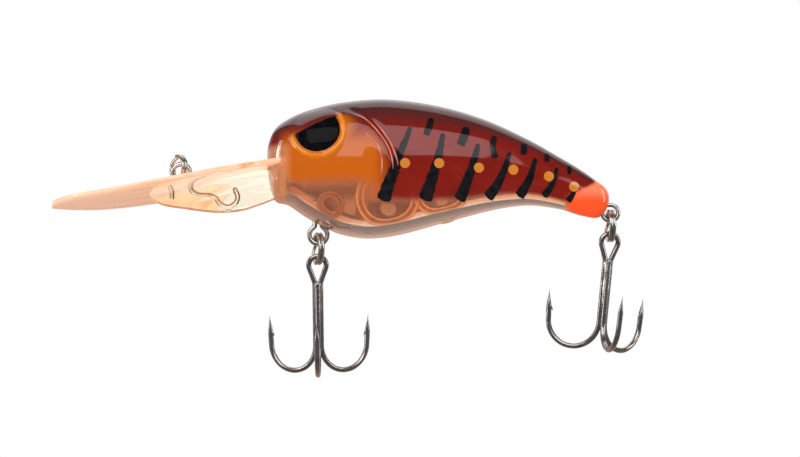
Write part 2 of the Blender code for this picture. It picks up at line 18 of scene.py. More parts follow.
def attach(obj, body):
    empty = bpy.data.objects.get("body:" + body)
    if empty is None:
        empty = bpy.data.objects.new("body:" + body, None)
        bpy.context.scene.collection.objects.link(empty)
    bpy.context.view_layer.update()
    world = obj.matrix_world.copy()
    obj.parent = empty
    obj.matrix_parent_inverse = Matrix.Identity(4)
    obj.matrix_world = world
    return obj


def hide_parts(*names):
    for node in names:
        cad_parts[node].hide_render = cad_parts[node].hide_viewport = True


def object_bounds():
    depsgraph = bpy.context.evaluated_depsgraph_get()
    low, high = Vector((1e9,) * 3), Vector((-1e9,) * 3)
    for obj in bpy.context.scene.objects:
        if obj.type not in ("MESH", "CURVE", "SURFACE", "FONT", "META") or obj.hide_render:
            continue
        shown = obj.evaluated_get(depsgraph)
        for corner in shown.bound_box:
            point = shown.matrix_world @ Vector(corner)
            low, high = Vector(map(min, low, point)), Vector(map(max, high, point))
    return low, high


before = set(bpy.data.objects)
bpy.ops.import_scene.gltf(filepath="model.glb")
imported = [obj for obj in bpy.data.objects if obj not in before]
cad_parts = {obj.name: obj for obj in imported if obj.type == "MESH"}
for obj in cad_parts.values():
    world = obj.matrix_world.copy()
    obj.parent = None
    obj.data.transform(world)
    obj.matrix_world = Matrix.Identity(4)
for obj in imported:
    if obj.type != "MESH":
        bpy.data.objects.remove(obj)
CAD_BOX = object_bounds()

LOG = logging.getLogger("crankbait")
MM = 0.001

Outline = Sequence[tuple[float, float]]
Colour = tuple[float, float, float]


class Side(Enum):
    """The half of the lure that a piece belongs to, as the sign of its Y."""

    LEFT = -1
    RIGHT = 1

    @property
    def word(self) -> str:
        """The side's name as used in piece names."""
        return self.name.lower()


class Slot(Enum):
    """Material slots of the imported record."""

    BODY = "body_shell"
    LIP = "lip"
    WIRE = "wire_nickel"
    RING = "ring_nickel"
    HOOK = "hook_steel"
    EYE = "eye"
    BALL = "ball_steel"


# ---------------------------------------------------------------------------------------------
# Curves and numbers
# ---------------------------------------------------------------------------------------------


def ease(value: float, start: float, end: float) -> float:
    """Smooth rise from 0 at start to 1 at end, which may lie below start."""
    share = max(0.0, min(1.0, (value - start) / (end - start)))
    return share * share * (3 - 2 * share)


def blend(a: float, b: float, share: float) -> float:
    """The value that lies that share of the way from a to b."""
    return a + (b - a) * share


def smooth_value(points: Outline, warp: Callable[[float], float], at: float) -> float:
    """Catmull-Rom value on given points that are spaced by a warp of their position.

    Args:
        points: Pairs of position and value, by rising position.
        warp: Turns a position into the spacing used between points.
        at: The position asked for.

    Returns:
        The value there.
    """
    stops = [warp(position) for position, _ in points]
    values = [value for _, value in points]
    place = warp(at)
    last = len(stops) - 1
    span = max(0, min(last - 1, sum(stop <= place for stop in stops) - 1))
    before, after = max(span - 1, 0), min(span + 2, last)
    width = stops[span + 1] - stops[span]
    t = (place - stops[span]) / width
    slope_in = (values[span + 1] - values[before]) / (stops[span + 1] - stops[before]) * width
    slope_out = (values[after] - values[span]) / (stops[after] - stops[span]) * width
    return (
        (2 * t**3 - 3 * t**2 + 1) * values[span]
        + (t**3 - 2 * t**2 + t) * slope_in
        + (3 * t**2 - 2 * t**3) * values[span + 1]
        + (t**3 - t**2) * slope_out
    )


def smooth_path(points: Sequence[Vector], steps: int) -> list[Vector]:
    """Catmull-Rom path through points, with a number of steps to each span.

    Args:
        points: Places the path goes through.
        steps: Steps to each span.

    Returns:
        The path's points.
    """
    ends = [points[0], *points, points[-1]]
    path = []
    for index in range(len(points) - 1):
        a, b, c, d = (Vector(ends[index + offset]) for offset in range(4))
        for step in range(steps):
            t = step / steps
            bend = (2 * a - 5 * b + 4 * c - d) * t**2 + (3 * b - a - 3 * c + d) * t**3
            path.append(0.5 * (2 * b + (c - a) * t + bend))
    path.append(Vector(points[-1]))
    return path


def arc(centre: tuple[float, float], radius: float, start: float, end: float, steps: int) -> list[Vector]:
    """Points on an arc in the XZ plane, by angle in degrees from +X towards +Z.

    Args:
        centre: Its centre, an X and a height.
        radius: Its radius.
        start: Angle of its first point.
        end: Angle of its last point.
        steps: Steps along it.

    Returns:
        The arc's points.
    """
    points = []
    for step in range(steps + 1):
        angle = math.radians(blend(start, end, step / steps))
        offset = Vector((math.cos(angle), 0, math.sin(angle))) * radius
        points.append(Vector((centre[0], 0, centre[1])) + offset)
    return points


def distance_to(outline: Outline, x: float, z: float) -> tuple[float, float]:
    """Signed distance from an open outline, and how far along it the nearest place is.

    Args:
        outline: Places in the XZ plane.
        x: Place along X.
        z: Height.

    Returns:
        The distance, positive on the right hand of the outline's direction, and a share
        of the outline's spans from 0 to 1.
    """
    best = (math.inf, 0.0)
    spans = len(outline) - 1
    for index in range(spans):
        (ax, az), (bx, bz) = outline[index], outline[index + 1]
        dx, dz = bx - ax, bz - az
        t = max(0.0, min(1.0, ((x - ax) * dx + (z - az) * dz) / (dx * dx + dz * dz)))
        gap = math.hypot(x - ax - dx * t, z - az - dz * t)
        if gap < abs(best[0]):
            right_hand = (x - ax) * dz - (z - az) * dx
            best = (math.copysign(gap, right_hand), (index + t) / spans)
    return best


# ---------------------------------------------------------------------------------------------
# Mesh drafting
# ---------------------------------------------------------------------------------------------


class Draft:
    """Points and faces gathered in millimetres, and then made into one object."""

    def __init__(self) -> None:
        """Starts with nothing in it."""
        self.points: list[Vector] = []
        self.faces: list[tuple[int, ...]] = []
        # Share of painted highlight at each point, kept on the mesh as a mask.
        self.lit: list[float] = []

    def face(self, corners: Iterable[int]) -> None:
        """Adds one face by the numbers of its corners."""
        self.faces.append(tuple(corners))

    def rows(self, rows: Sequence[Sequence[Vector]], closed: bool = False, capped: bool = False) -> int:
        """Adds a skin of quads over rows of points.

        Args:
            rows: Rows with the same number of points.
            closed: Whether each row is a loop.
            capped: Whether the first and last rows are closed with a face.

        Returns:
            The number of the first point.
        """
        start, count = len(self.points), len(rows[0])
        for row in rows:
            self.points.extend(Vector(point) for point in row)
        for level in range(len(rows) - 1):
            base = start + level * count
            for index in range(count if closed else count - 1):
                after = (index + 1) % count
                self.face((base + index, base + after, base + count + after, base + count + index))
        if capped:
            self.face(range(start + count - 1, start - 1, -1))
            top = start + (len(rows) - 1) * count
            self.face(range(top, top + count))
        return start

    def slab(self, rows: Sequence[Sequence[Vector]], below: Sequence[Sequence[Vector]]) -> None:
        """Adds a closed sheet: a top skin, a bottom skin and the wall round them.

        Args:
            rows: The top skin's rows.
            below: The bottom skin's rows, as many.
        """
        across, along = len(rows[0]), len(rows)
        top = self.rows(rows)
        bottom = self.rows(below)
        rim = list(range(across))
        rim += [level * across + across - 1 for level in range(1, along)]
        rim += [(along - 1) * across + index for index in range(across - 2, -1, -1)]
        rim += [level * across for level in range(along - 2, 0, -1)]
        for index, corner in enumerate(rim):
            after = rim[(index + 1) % len(rim)]
            self.face((top + corner, top + after, bottom + after, bottom + corner))

    def tube(self, path: Sequence[Vector], radii: Sequence[float] | float, sides: int = 14,
             flatness: float = 2.0, round_ends: bool = True) -> None:
        """Adds a wire swept along a path, with rounded or flat ends.

        Args:
            path: Points of the wire's middle.
            radii: One radius, or one to each point.
            sides: Number of points round the wire.
            flatness: Exponent of the section, where 2 is round and more is squarer.
            round_ends: Whether the ends are domed.
        """
        sizes = [radii] * len(path) if isinstance(radii, (int, float)) else list(radii)
        points = [Vector(point) for point in path]
        tangents = []
        for index in range(len(points)):
            ahead = points[min(index + 1, len(points) - 1)] - points[max(index - 1, 0)]
            tangents.append(ahead.normalized())
        normal = tangents[0].orthogonal().normalized()
        if abs(tangents[0].y) < 0.9:
            normal = Vector((0, 1, 0)).cross(tangents[0]).cross(tangents[0]).normalized()
        rows = []
        for index, (point, tangent) in enumerate(zip(points, tangents)):
            normal = (normal - tangent * normal.dot(tangent)).normalized()
            side = tangent.cross(normal)
            levels = [(0.0, 1.0)]
            if round_ends and index in (0, len(points) - 1):
                sign = -1 if index == 0 else 1
                dome = [(math.sin(a), math.cos(a)) for a in (0.45, 0.9, 1.35)]
                levels += [(sign * rise, scale) for rise, scale in dome]
                if index == 0:
                    levels.reverse()
            for rise, scale in levels:
                rows.append(self._section(point + tangent * rise * sizes[index], normal, side,
                                          sizes[index] * scale, sides, flatness))
        self.rows(rows, closed=True, capped=True)

    @staticmethod
    def _section(centre: Vector, normal: Vector, side: Vector, radius: float, sides: int,
                 flatness: float) -> list[Vector]:
        """One closed section of a wire, round or squared.

        Args:
            centre: Its middle.
            normal: Its first direction.
            side: Its second direction.
            radius: The wire's radius.
            sides: Points round it.
            flatness: How square it is, from 0 for round.

        Returns:
            The section's points.
        """
        ring = []
        for index in range(sides):
            angle = 2 * math.pi * index / sides
            across, up = math.cos(angle), math.sin(angle)
            if flatness != 2.0:
                across = math.copysign(abs(across) ** (2 / flatness), across)
                up = math.copysign(abs(up) ** (2 / flatness), up)
            ring.append(centre + (normal * across + side * up) * radius)
        return ring

    def make(self, name: str, material: bpy.types.Material, sharp: float = 40.0) -> bpy.types.Object:
        """Makes the object, with its faces turned outward and its edges smoothed.

        Args:
            name: The piece's name.
            material: Its material.
            sharp: Edges that turn by more than this many degrees stay crisp.

        Returns:
            The object, linked to the scene.
        """
        mesh = bpy.data.meshes.new(name)
        mesh.from_pydata([point * MM for point in self.points], [], self.faces)
        mesh.materials.append(material)
        shape = bmesh.new()
        shape.from_mesh(mesh)
        bmesh.ops.recalc_face_normals(shape, faces=shape.faces)
        shape.to_mesh(mesh)
        shape.free()
        mesh.shade_smooth()
        mesh.set_sharp_from_angle(angle=math.radians(sharp))
        # Lays the painted highlight shares on as a mask.
        if self.lit:
            mesh.attributes.new("lit_edge", "FLOAT", "POINT").data.foreach_set("value", self.lit)
        piece = bpy.data.objects.new(name, mesh)
        bpy.context.scene.collection.objects.link(piece)
        return piece


def fit(piece: bpy.types.Object, body: str, slot: Slot, *nodes: str) -> bpy.types.Object:
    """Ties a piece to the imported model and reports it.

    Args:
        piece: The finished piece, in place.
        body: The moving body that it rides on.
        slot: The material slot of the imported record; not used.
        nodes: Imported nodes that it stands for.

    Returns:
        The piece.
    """
    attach(piece, body)
    if nodes:
        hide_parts(*nodes)
    LOG.info("%s rides on %s with %d faces", piece.name, body, len(piece.data.polygons))
    return piece


# ---------------------------------------------------------------------------------------------
# Finishes
# ---------------------------------------------------------------------------------------------


class NodeSheet:
    """A small helper that lays and joins the nodes of one material or group."""

    def __init__(self, tree: bpy.types.NodeTree) -> None:
        """Keeps the tree that it works on."""
        self.tree = tree

    def add(self, kind: str, settings: dict[str, object] | None = None,
            **inputs: object) -> bpy.types.Node:
        """Adds a node, sets its properties, and sets or joins its inputs.

        Args:
            kind: The node's type name.
            settings: Properties of the node by name.
            inputs: Values or output sockets by input name, with _ for a space.

        Returns:
            The node.
        """
        node = self.tree.nodes.new(kind)
        for key, value in (settings or {}).items():
            setattr(node, key, value)
        for key, value in inputs.items():
            self.feed(node.inputs[key.replace("_", " ")], value)
        return node

    def feed(self, socket: bpy.types.NodeSocket, value: object) -> None:
        """Joins an output socket to this input, or sets the input to a value.

        Args:
            socket: The input.
            value: An output socket, or a value.
        """
        if isinstance(value, bpy.types.NodeSocket):
            self.tree.links.new(value, socket)
        elif isinstance(value, tuple) and len(value) == 3 and socket.type == "RGBA":
            socket.default_value = (*value, 1.0)
        else:
            socket.default_value = value

    def mix_colour(self, share: object, a: object, b: object) -> bpy.types.NodeSocket:
        """Output of a colour mix from a to b.

        Args:
            share: Share of b.
            a: First colour.
            b: Second colour.

        Returns:
            The mixed colour.
        """
        node = self.tree.nodes.new("ShaderNodeMix")
        node.data_type = "RGBA"
        for socket, value in ((node.inputs[0], share), (node.inputs[6], a), (node.inputs[7], b)):
            self.feed(socket, value)
        return node.outputs[2]

    def mix_value(self, share: object, a: object, b: object) -> bpy.types.NodeSocket:
        """Output of a number mix from a to b.

        Args:
            share: Share of b.
            a: First number.
            b: Second number.

        Returns:
            The mixed number.
        """
        node = self.tree.nodes.new("ShaderNodeMix")
        for socket, value in ((node.inputs[0], share), (node.inputs[2], a), (node.inputs[3], b)):
            self.feed(socket, value)
        return node.outputs[0]

    def maths(self, operation: str, a: object, b: object = 0.0) -> bpy.types.NodeSocket:
        """Output of one sum on two values.

        Args:
            operation: What is worked out.
            a: First value.
            b: Second value.

        Returns:
            The result.
        """
        node = self.tree.nodes.new("ShaderNodeMath")
        node.operation = operation
        self.feed(node.inputs[0], a)
        self.feed(node.inputs[1], b)
        return node.outputs[0]

    def spread(self, value: bpy.types.NodeSocket, given: tuple[float, float],
               wanted: tuple[float, float] = (0.0, 1.0)) -> bpy.types.NodeSocket:
        """Output of a value spread from one range to another and held inside it.

        Args:
            value: The value's socket.
            given: The range that the value is read over.
            wanted: What the ends of that range become.

        Returns:
            The spread value.
        """
        node = self.add("ShaderNodeMapRange", Value=value, From_Min=given[0], From_Max=given[1])
        node.inputs["To Min"].default_value, node.inputs["To Max"].default_value = wanted
        return node.outputs[0]

    def mask(self, name: str) -> bpy.types.NodeSocket:
        """Output of a mask kept on the mesh."""
        return self.add("ShaderNodeAttribute", {"attribute_name": name}).outputs["Fac"]

    def noise(self, scale: float, detail: float = 3.0,
              stretch: tuple[float, float, float] = (1, 1, 1)) -> bpy.types.NodeSocket:
        """Output of a noise that is fixed to the piece.

        Args:
            scale: Features to a metre.
            detail: Octaves.
            stretch: Scale along each axis.

        Returns:
            The noise value.
        """
        where = self.add("ShaderNodeTexCoord").outputs["Object"]
        mapped = self.add("ShaderNodeMapping", Vector=where, Scale=stretch)
        return self.add("ShaderNodeTexNoise", Vector=mapped.outputs[0], Scale=scale,
                        Detail=detail).outputs["Fac"]

    def bump(self, height: bpy.types.NodeSocket, strength: float, distance: float) -> bpy.types.NodeSocket:
        """Output of a normal raised by a height."""
        return self.add("ShaderNodeBump", Height=height, Strength=strength, Distance=distance).outputs[0]

    def fill(self, shader: bpy.types.Node, values: dict[str, object]) -> None:
        """Sets or joins a shader's inputs by name."""
        for name, value in values.items():
            self.feed(shader.inputs[name], value)


def group_sheet(name: str, inputs: dict[str, float],
                outputs: Sequence[str]) -> tuple[NodeSheet, bpy.types.Node, bpy.types.Node]:
    """Starts a shader node group of plain values.

    Args:
        name: The group's name.
        inputs: Default value of each input by name.
        outputs: Names of the outputs.

    Returns:
        The group's sheet, its input node and its output node.
    """
    tree = bpy.data.node_groups.new(name, "ShaderNodeTree")
    for key, value in inputs.items():
        socket = tree.interface.new_socket(name=key, in_out="INPUT", socket_type="NodeSocketFloat")
        socket.default_value = value
    for key in outputs:
        tree.interface.new_socket(name=key, in_out="OUTPUT", socket_type="NodeSocketFloat")
    sheet = NodeSheet(tree)
    return sheet, sheet.add("NodeGroupInput"), sheet.add("NodeGroupOutput")


class SharedEffects:
    """Node groups that more than one finish uses, each built once."""

    def __init__(self) -> None:
        """Builds the groups."""
        self.moulding = self._moulding()
        self.handling = self._handling()

    @staticmethod
    def _moulding() -> bpy.types.NodeTree:
        """Moulded gloss: a soft orange-peel height and a slightly uneven roughness.

        Returns:
            The node group.
        """
        sheet, given, result = group_sheet(
            "moulded_gloss", {"Roughness": 0.08, "Unevenness": 0.04}, ("Roughness", "Height")
        )
        waves = sheet.noise(420.0, 2.0)
        specks = sheet.noise(2600.0, 4.0)
        uneven = sheet.maths("MULTIPLY", sheet.maths("SUBTRACT", specks, 0.5), given.outputs["Unevenness"])
        speck_height = sheet.maths("MULTIPLY", specks, 0.08)
        sheet.fill(result, {
            "Roughness": sheet.maths("ADD", given.outputs["Roughness"], uneven),
            "Height": sheet.maths("ADD", waves, speck_height),
        })
        return sheet.tree

    @staticmethod
    def _handling() -> bpy.types.NodeTree:
        """Handled metal: fine drawn scratches, smudges and dull spots.

        Returns:
            The node group.
        """
        sheet, given, result = group_sheet(
            "handled_metal", {"Roughness": 0.2, "Wear": 0.15}, ("Roughness", "Height", "Smudge")
        )
        drawn = sheet.noise(5200.0, 2.0, (1.0, 1.0, 0.12))
        smudge = sheet.noise(700.0, 5.0)
        spots = sheet.spread(smudge, (0.42, 0.7))
        dull = sheet.maths("MULTIPLY", spots, given.outputs["Wear"])
        lines = sheet.maths("MULTIPLY", sheet.maths("SUBTRACT", drawn, 0.5), given.outputs["Wear"])
        sheet.fill(result, {
            "Roughness": sheet.maths("ADD", given.outputs["Roughness"], sheet.maths("ADD", dull, lines)),
            "Height": drawn,
            "Smudge": spots,
        })
        return sheet.tree


MOULD_RELIEF = 0.0002
DRAWN_RELIEF = 0.00004
VARNISH = {"Coat Weight": 1.0, "Coat Roughness": 0.03, "Coat IOR": 1.5, "Specular IOR Level": 0.1}


def new_material(name: str) -> tuple[bpy.types.Material, NodeSheet, bpy.types.Node]:
    """A new material, its sheet and its Principled shader.

    Args:
        name: The material's name.

    Returns:
        The material, the sheet and the shader.
    """
    material = bpy.data.materials.new(name)
    material.use_nodes = True
    return material, NodeSheet(material.node_tree), material.node_tree.nodes["Principled BSDF"]


@dataclass(frozen=True)
class MetalFinish:
    """Plated steel, with drawn lines and smudges."""

    name: str
    colour: Colour
    dull_colour: Colour
    roughness: float = 0.16
    wear: float = 0.12
    bump: float = 0.08

    def build(self, effects: SharedEffects) -> bpy.types.Material:
        """Makes the material.

        Args:
            effects: The shared node groups.

        Returns:
            The material.
        """
        material, sheet, shader = new_material(self.name)
        handled = sheet.add("ShaderNodeGroup", {"node_tree": effects.handling},
                            Roughness=self.roughness, Wear=self.wear)
        colour = sheet.mix_colour(handled.outputs["Smudge"], self.colour, self.dull_colour)
        sheet.fill(shader, {
            "Base Color": colour,
            "Roughness": handled.outputs["Roughness"],
            "Normal": sheet.bump(handled.outputs["Height"], self.bump, DRAWN_RELIEF),
            "Metallic": 1.0,
        })
        return material


@dataclass(frozen=True)
class PlasticFinish:
    """Moulded gloss plastic or gloss paint in one colour, with faint clouds of a second and any glowing
    painted highlight.
    """

    name: str
    colour: Colour
    cloud_colour: Colour
    alpha: float = 1.0
    roughness: float = 0.08
    cloud_scale: float = 160.0
    bump: float = 0.05
    coat: float = 0.0
    sheen: float = 0.5
    painted_highlight: Colour | None = None
    painted_highlight_glow: float = 0.35

    def build(self, effects: SharedEffects) -> bpy.types.Material:
        """Makes the material. Where a painted highlight is given, the painted edge highlight mask lays it on
        and it glows.

        Args:
            effects: The shared node groups.

        Returns:
            The material.
        """
        material, sheet, shader = new_material(self.name)
        moulded = sheet.add("ShaderNodeGroup", {"node_tree": effects.moulding}, Roughness=self.roughness)
        clouds = sheet.spread(sheet.noise(self.cloud_scale, 4.0), (0.35, 0.65))
        colour = sheet.mix_colour(clouds, self.colour, self.cloud_colour)
        # Painted highlight: a bright colour laid on the edges by the mask, and made to glow.
        if self.painted_highlight:
            colour = sheet.mix_colour(sheet.mask("lit_edge"), colour, self.painted_highlight)
            sheet.fill(shader, {"Emission Color": colour, "Emission Strength": self.painted_highlight_glow})
        sheet.fill(shader, {
            "Base Color": colour,
            "Roughness": moulded.outputs["Roughness"],
            "Normal": sheet.bump(moulded.outputs["Height"], self.bump, MOULD_RELIEF),
            "Alpha": self.alpha,
            "Coat Weight": self.coat,
            "Coat Roughness": 0.03,
            "Specular IOR Level": self.sheen,
        })
        return material


@dataclass(frozen=True)
class ClearPlastic:
    """Clear moulded plastic, tinted through, which bends what is seen through it."""

    name: str
    tint: Colour
    cloud_tint: Colour
    rim_tint: Colour | None = None
    roughness: float = 0.03
    bump: float = 0.03

    def build(self, effects: SharedEffects) -> bpy.types.Material:
        """Makes the material. Where a rim tint is given, the mask for clear paint lays it on.

        Args:
            effects: The shared node groups.

        Returns:
            The material.
        """
        material, sheet, shader = new_material(self.name)
        moulded = sheet.add("ShaderNodeGroup", {"node_tree": effects.moulding}, Roughness=self.roughness,
                            Unevenness=0.02)
        colour = sheet.mix_colour(sheet.noise(150.0, 3.0), self.tint, self.cloud_tint)
        if self.rim_tint:
            colour = sheet.mix_colour(sheet.mask("paint_clear"), colour, self.rim_tint)
        sheet.fill(shader, {
            "Base Color": colour,
            "Roughness": moulded.outputs["Roughness"],
            "Normal": sheet.bump(moulded.outputs["Height"], self.bump, MOULD_RELIEF),
            "Transmission Weight": 1.0,
            "IOR": 1.5,
        })
        return material


@dataclass(frozen=True)
class BodyPaint:
    """Sprayed colours under gloss varnish, laid by masks on the mesh.

    Cover is how much of the light one face of the paint film stops.
    """

    name: str = "body_paint"
    red: Colour = (0.30, 0.010, 0.004)
    deep_red: Colour = (0.17, 0.006, 0.004)
    back: Colour = (0.070, 0.014, 0.014)
    amber: Colour = (0.62, 0.125, 0.004)
    rim_amber: Colour = (0.86, 0.27, 0.012)
    peach: Colour = (0.60, 0.215, 0.115)
    clear_peach: Colour = (0.88, 0.58, 0.42)
    mouth: Colour = (0.86, 0.36, 0.16)
    tail: Colour = (1.0, 0.085, 0.014)
    tail_top: Colour = (1.0, 0.24, 0.13)
    red_cover: float = 0.72
    back_cover: float = 0.90
    amber_cover: float = 0.80
    rim_cover: float = 0.86
    peach_cover: float = 0.14
    clear_cover: float = 0.03
    mouth_cover: float = 0.30

    def build(self, effects: SharedEffects) -> bpy.types.Material:
        """Makes the material.

        Args:
            effects: The shared node groups.

        Returns:
            The material.
        """
        material, sheet, shader = new_material(self.name)
        moulded = sheet.add("ShaderNodeGroup", {"node_tree": effects.moulding}, Roughness=0.10,
                            Unevenness=0.05)
        mist = sheet.noise(230.0, 5.0, (0.5, 1.0, 1.0))
        colour = sheet.mix_colour(mist, self.deep_red, self.red)
        cover = self.red_cover
        layers = (
            ("paint_back", self.back, self.back_cover),
            ("paint_amber", self.amber, self.amber_cover),
            ("paint_peach", self.peach, self.peach_cover),
            ("paint_rim", self.rim_amber, self.rim_cover),
            ("paint_clear", self.clear_peach, self.clear_cover),
            ("paint_mouth", self.mouth, self.mouth_cover),
            ("paint_tail", self.tail, 1.0),
            ("paint_tail_top", self.tail_top, 1.0),
        )
        for mask, layer_colour, layer_cover in layers:
            share = sheet.mask(mask)
            colour = sheet.mix_colour(share, colour, layer_colour)
            cover = sheet.mix_value(share, cover, layer_cover)
        sheet.fill(shader, {
            "Base Color": colour,
            "Roughness": moulded.outputs["Roughness"],
            "Normal": sheet.bump(moulded.outputs["Height"], 0.04, MOULD_RELIEF),
            "Alpha": cover,
            **VARNISH,
        })
        return material


@dataclass(frozen=True)
class LipTint:
    """Clear plastic tinted peach, with flow streaks that run along the lip and a faint painted glow."""

    name: str = "lip_tint"
    pale: Colour = (0.97, 0.57, 0.37)
    streak: Colour = (0.87, 0.31, 0.09)
    painted_glow: float = 0.16

    def build(self, effects: SharedEffects) -> bpy.types.Material:
        """Makes the material.

        Args:
            effects: The shared node groups.

        Returns:
            The material.
        """
        material, sheet, shader = new_material(self.name)
        moulded = sheet.add("ShaderNodeGroup", {"node_tree": effects.moulding}, Roughness=0.09,
                            Unevenness=0.04)
        flow = sheet.noise(330.0, 3.0, (0.10, 1.0, 0.6))
        fine = sheet.noise(1150.0, 3.0, (0.06, 1.0, 0.6))
        streaks = sheet.spread(sheet.mix_value(0.35, flow, fine), (0.47, 0.66))
        warm = sheet.maths("MULTIPLY", streaks, sheet.mask("lip_root"))
        colour = sheet.mix_colour(warm, self.pale, self.streak)
        sheet.fill(shader, {
            "Base Color": colour,
            "Roughness": moulded.outputs["Roughness"],
            "Normal": sheet.bump(moulded.outputs["Height"], 0.06, MOULD_RELIEF),
            "Alpha": 0.93,
            # Painted light: the lip glows in its own colour to brighten it.
            "Emission Color": colour,
            "Emission Strength": self.painted_glow,
            "Coat Weight": 0.6,
            "Coat Roughness": 0.04,
        })
        return material


Finish = MetalFinish | PlasticFinish | ClearPlastic | BodyPaint | LipTint


@dataclass
class Finishes:
    """Every finish of the lure, built once."""

    effects: SharedEffects = field(default_factory=SharedEffects)

    def __post_init__(self) -> None:
        """Builds the materials."""
        build = self._build
        self.paint = build(BodyPaint())
        self.lip = build(LipTint())
        self.shell = build(ClearPlastic("body_clear", (0.84, 0.50, 0.32), (0.78, 0.42, 0.24),
                                        rim_tint=(0.95, 0.78, 0.66)))
        self.keel = build(ClearPlastic("keel_clear", (1.0, 0.93, 0.78), (0.99, 0.86, 0.66)))
        # Chamber walls: dark brown, partly their own tint and partly painted shade, with a glowing painted
        # highlight on their edges.
        self.chamber = build(PlasticFinish(
            "chamber_amber", (0.13, 0.028, 0.010), (0.30, 0.075, 0.02), alpha=0.82, cloud_scale=420.0,
            coat=1.0, painted_highlight=(1.0, 0.46, 0.14)))
        # The gill lines are pale pink: a painted highlight for the light that the moulded ridges catch.
        self.ridge_highlight = build(PlasticFinish(
            "gill_ridge_painted_highlight", (0.66, 0.20, 0.13), (0.52, 0.10, 0.05), cloud_scale=500.0, coat=1.0))
        self.black = build(PlasticFinish(
            "stripe_black", (0.003, 0.003, 0.004), (0.010, 0.009, 0.011), roughness=0.12, cloud_scale=900.0,
            coat=0.5, sheen=0.05))
        self.orange = build(PlasticFinish(
            "spot_orange", (0.60, 0.175, 0.014), (0.54, 0.20, 0.025), roughness=0.14, cloud_scale=1500.0,
            coat=1.0))
        self.eye = build(PlasticFinish(
            "eye_gloss_black", (0.002, 0.002, 0.003), (0.005, 0.005, 0.006), roughness=0.04,
            cloud_scale=900.0, bump=0.02, coat=0.14, sheen=0.0))
        self.wire = build(MetalFinish("wire_nickel_plate", (0.74, 0.71, 0.66), (0.50, 0.47, 0.42)))
        self.ring = build(MetalFinish("ring_nickel_plate", (0.66, 0.63, 0.58), (0.42, 0.39, 0.35)))
        self.hook = build(MetalFinish("hook_black_nickel", (0.48, 0.455, 0.44), (0.28, 0.26, 0.25),
                                      roughness=0.15, wear=0.16, bump=0.06))
        self.braze = build(MetalFinish("braze_silver", (0.60, 0.57, 0.55), (0.30, 0.28, 0.27),
                                       roughness=0.24, bump=0.5))
        self.ball = build(MetalFinish("ball_polished_steel", (0.62, 0.60, 0.58), (0.48, 0.46, 0.45),
                                      roughness=0.07, wear=0.05, bump=0.02))

    def _build(self, finish: Finish) -> bpy.types.Material:
        """Makes one finish with the shared effects."""
        return finish.build(self.effects)


# ---------------------------------------------------------------------------------------------
# The body
# ---------------------------------------------------------------------------------------------


@dataclass(frozen=True)
class BodyForm:
    """The outer form of the body, which every painted piece lies on."""

    nose: float = 15.0
    tail: float = 74.7
    squareness: float = 2.2
    half_gap: float = 0.05
    end_angle: float = 0.07
    back_line: Outline = (
        (15.0, 2.6), (16.1, 7.1), (18.8, 9.4), (23.0, 11.1), (28.5, 12.3), (35.6, 12.8), (44.0, 11.8),
        (52.3, 9.5), (60.7, 5.7), (66.3, 2.5), (71.9, -1.1), (73.6, -2.3), (74.7, -4.5),
    )
    belly_line: Outline = (
        (15.0, 2.6), (16.2, -4.6), (18.8, -5.8), (21.6, -7.7), (24.5, -9.4), (28.0, -10.9), (32.8, -11.6),
        (38.4, -10.9), (46.8, -8.6), (55.0, -6.5), (60.7, -5.8), (66.3, -6.5), (70.0, -7.6), (73.0, -7.8),
        (74.7, -4.5),
    )
    half_width: Outline = (
        (15.0, 0.0), (16.1, 3.3), (18.8, 5.2), (23.0, 6.6), (29.0, 7.6), (35.0, 7.8), (42.0, 7.3),
        (50.0, 6.0), (58.0, 4.5), (66.0, 3.1), (71.9, 2.2), (73.6, 1.6), (74.7, 0.0),
    )

    def warp(self, x: float) -> float:
        """Angle that runs from 0 at the nose to pi at the tail, which rounds both ends."""
        share = (x - self.nose) / (self.tail - self.nose)
        return math.acos(max(-1.0, min(1.0, 1.0 - 2.0 * share)))

    def unwarp(self, angle: float) -> float:
        """Place along X of such an angle."""
        return self.nose + (self.tail - self.nose) * (1 - math.cos(angle)) / 2

    def section(self, x: float) -> tuple[float, float, float]:
        """Middle height, half height and half width at x.

        Args:
            x: Place along X.

        Returns:
            The three sizes.
        """
        back = smooth_value(self.back_line, self.warp, x)
        belly = smooth_value(self.belly_line, self.warp, x)
        return (back + belly) / 2, (back - belly) / 2, smooth_value(self.half_width, self.warp, x)

    def skin_width(self, x: float, z: float) -> float:
        """Distance of the outer skin from the middle plane at a place of the side view.

        Args:
            x: Place along X.
            z: Height.

        Returns:
            The distance.
        """
        middle, half_height, half_width = self.section(x)
        rise = min(1.0, abs(z - middle) / half_height)
        return half_width * (1 - rise**self.squareness) ** (1 / self.squareness)

    def skin(self, side: Side, x: float, z: float, lift: float = 0.0) -> Vector:
        """A place on the outer skin, or lifted off it along its normal.

        Args:
            side: The half.
            x: Place along X.
            z: Height.
            lift: How far it is lifted.

        Returns:
            The place.
        """
        step = 0.15
        y = self.skin_width(x, z)
        slope_x = (self.skin_width(x + step, z) - self.skin_width(x - step, z)) / (2 * step)
        slope_z = (self.skin_width(x, z + step) - self.skin_width(x, z - step)) / (2 * step)
        normal = Vector((-slope_x, 1.0, -slope_z)).normalized()
        place = Vector((x, y, z)) + normal * lift
        return Vector((place.x, side.value * place.y, place.z))


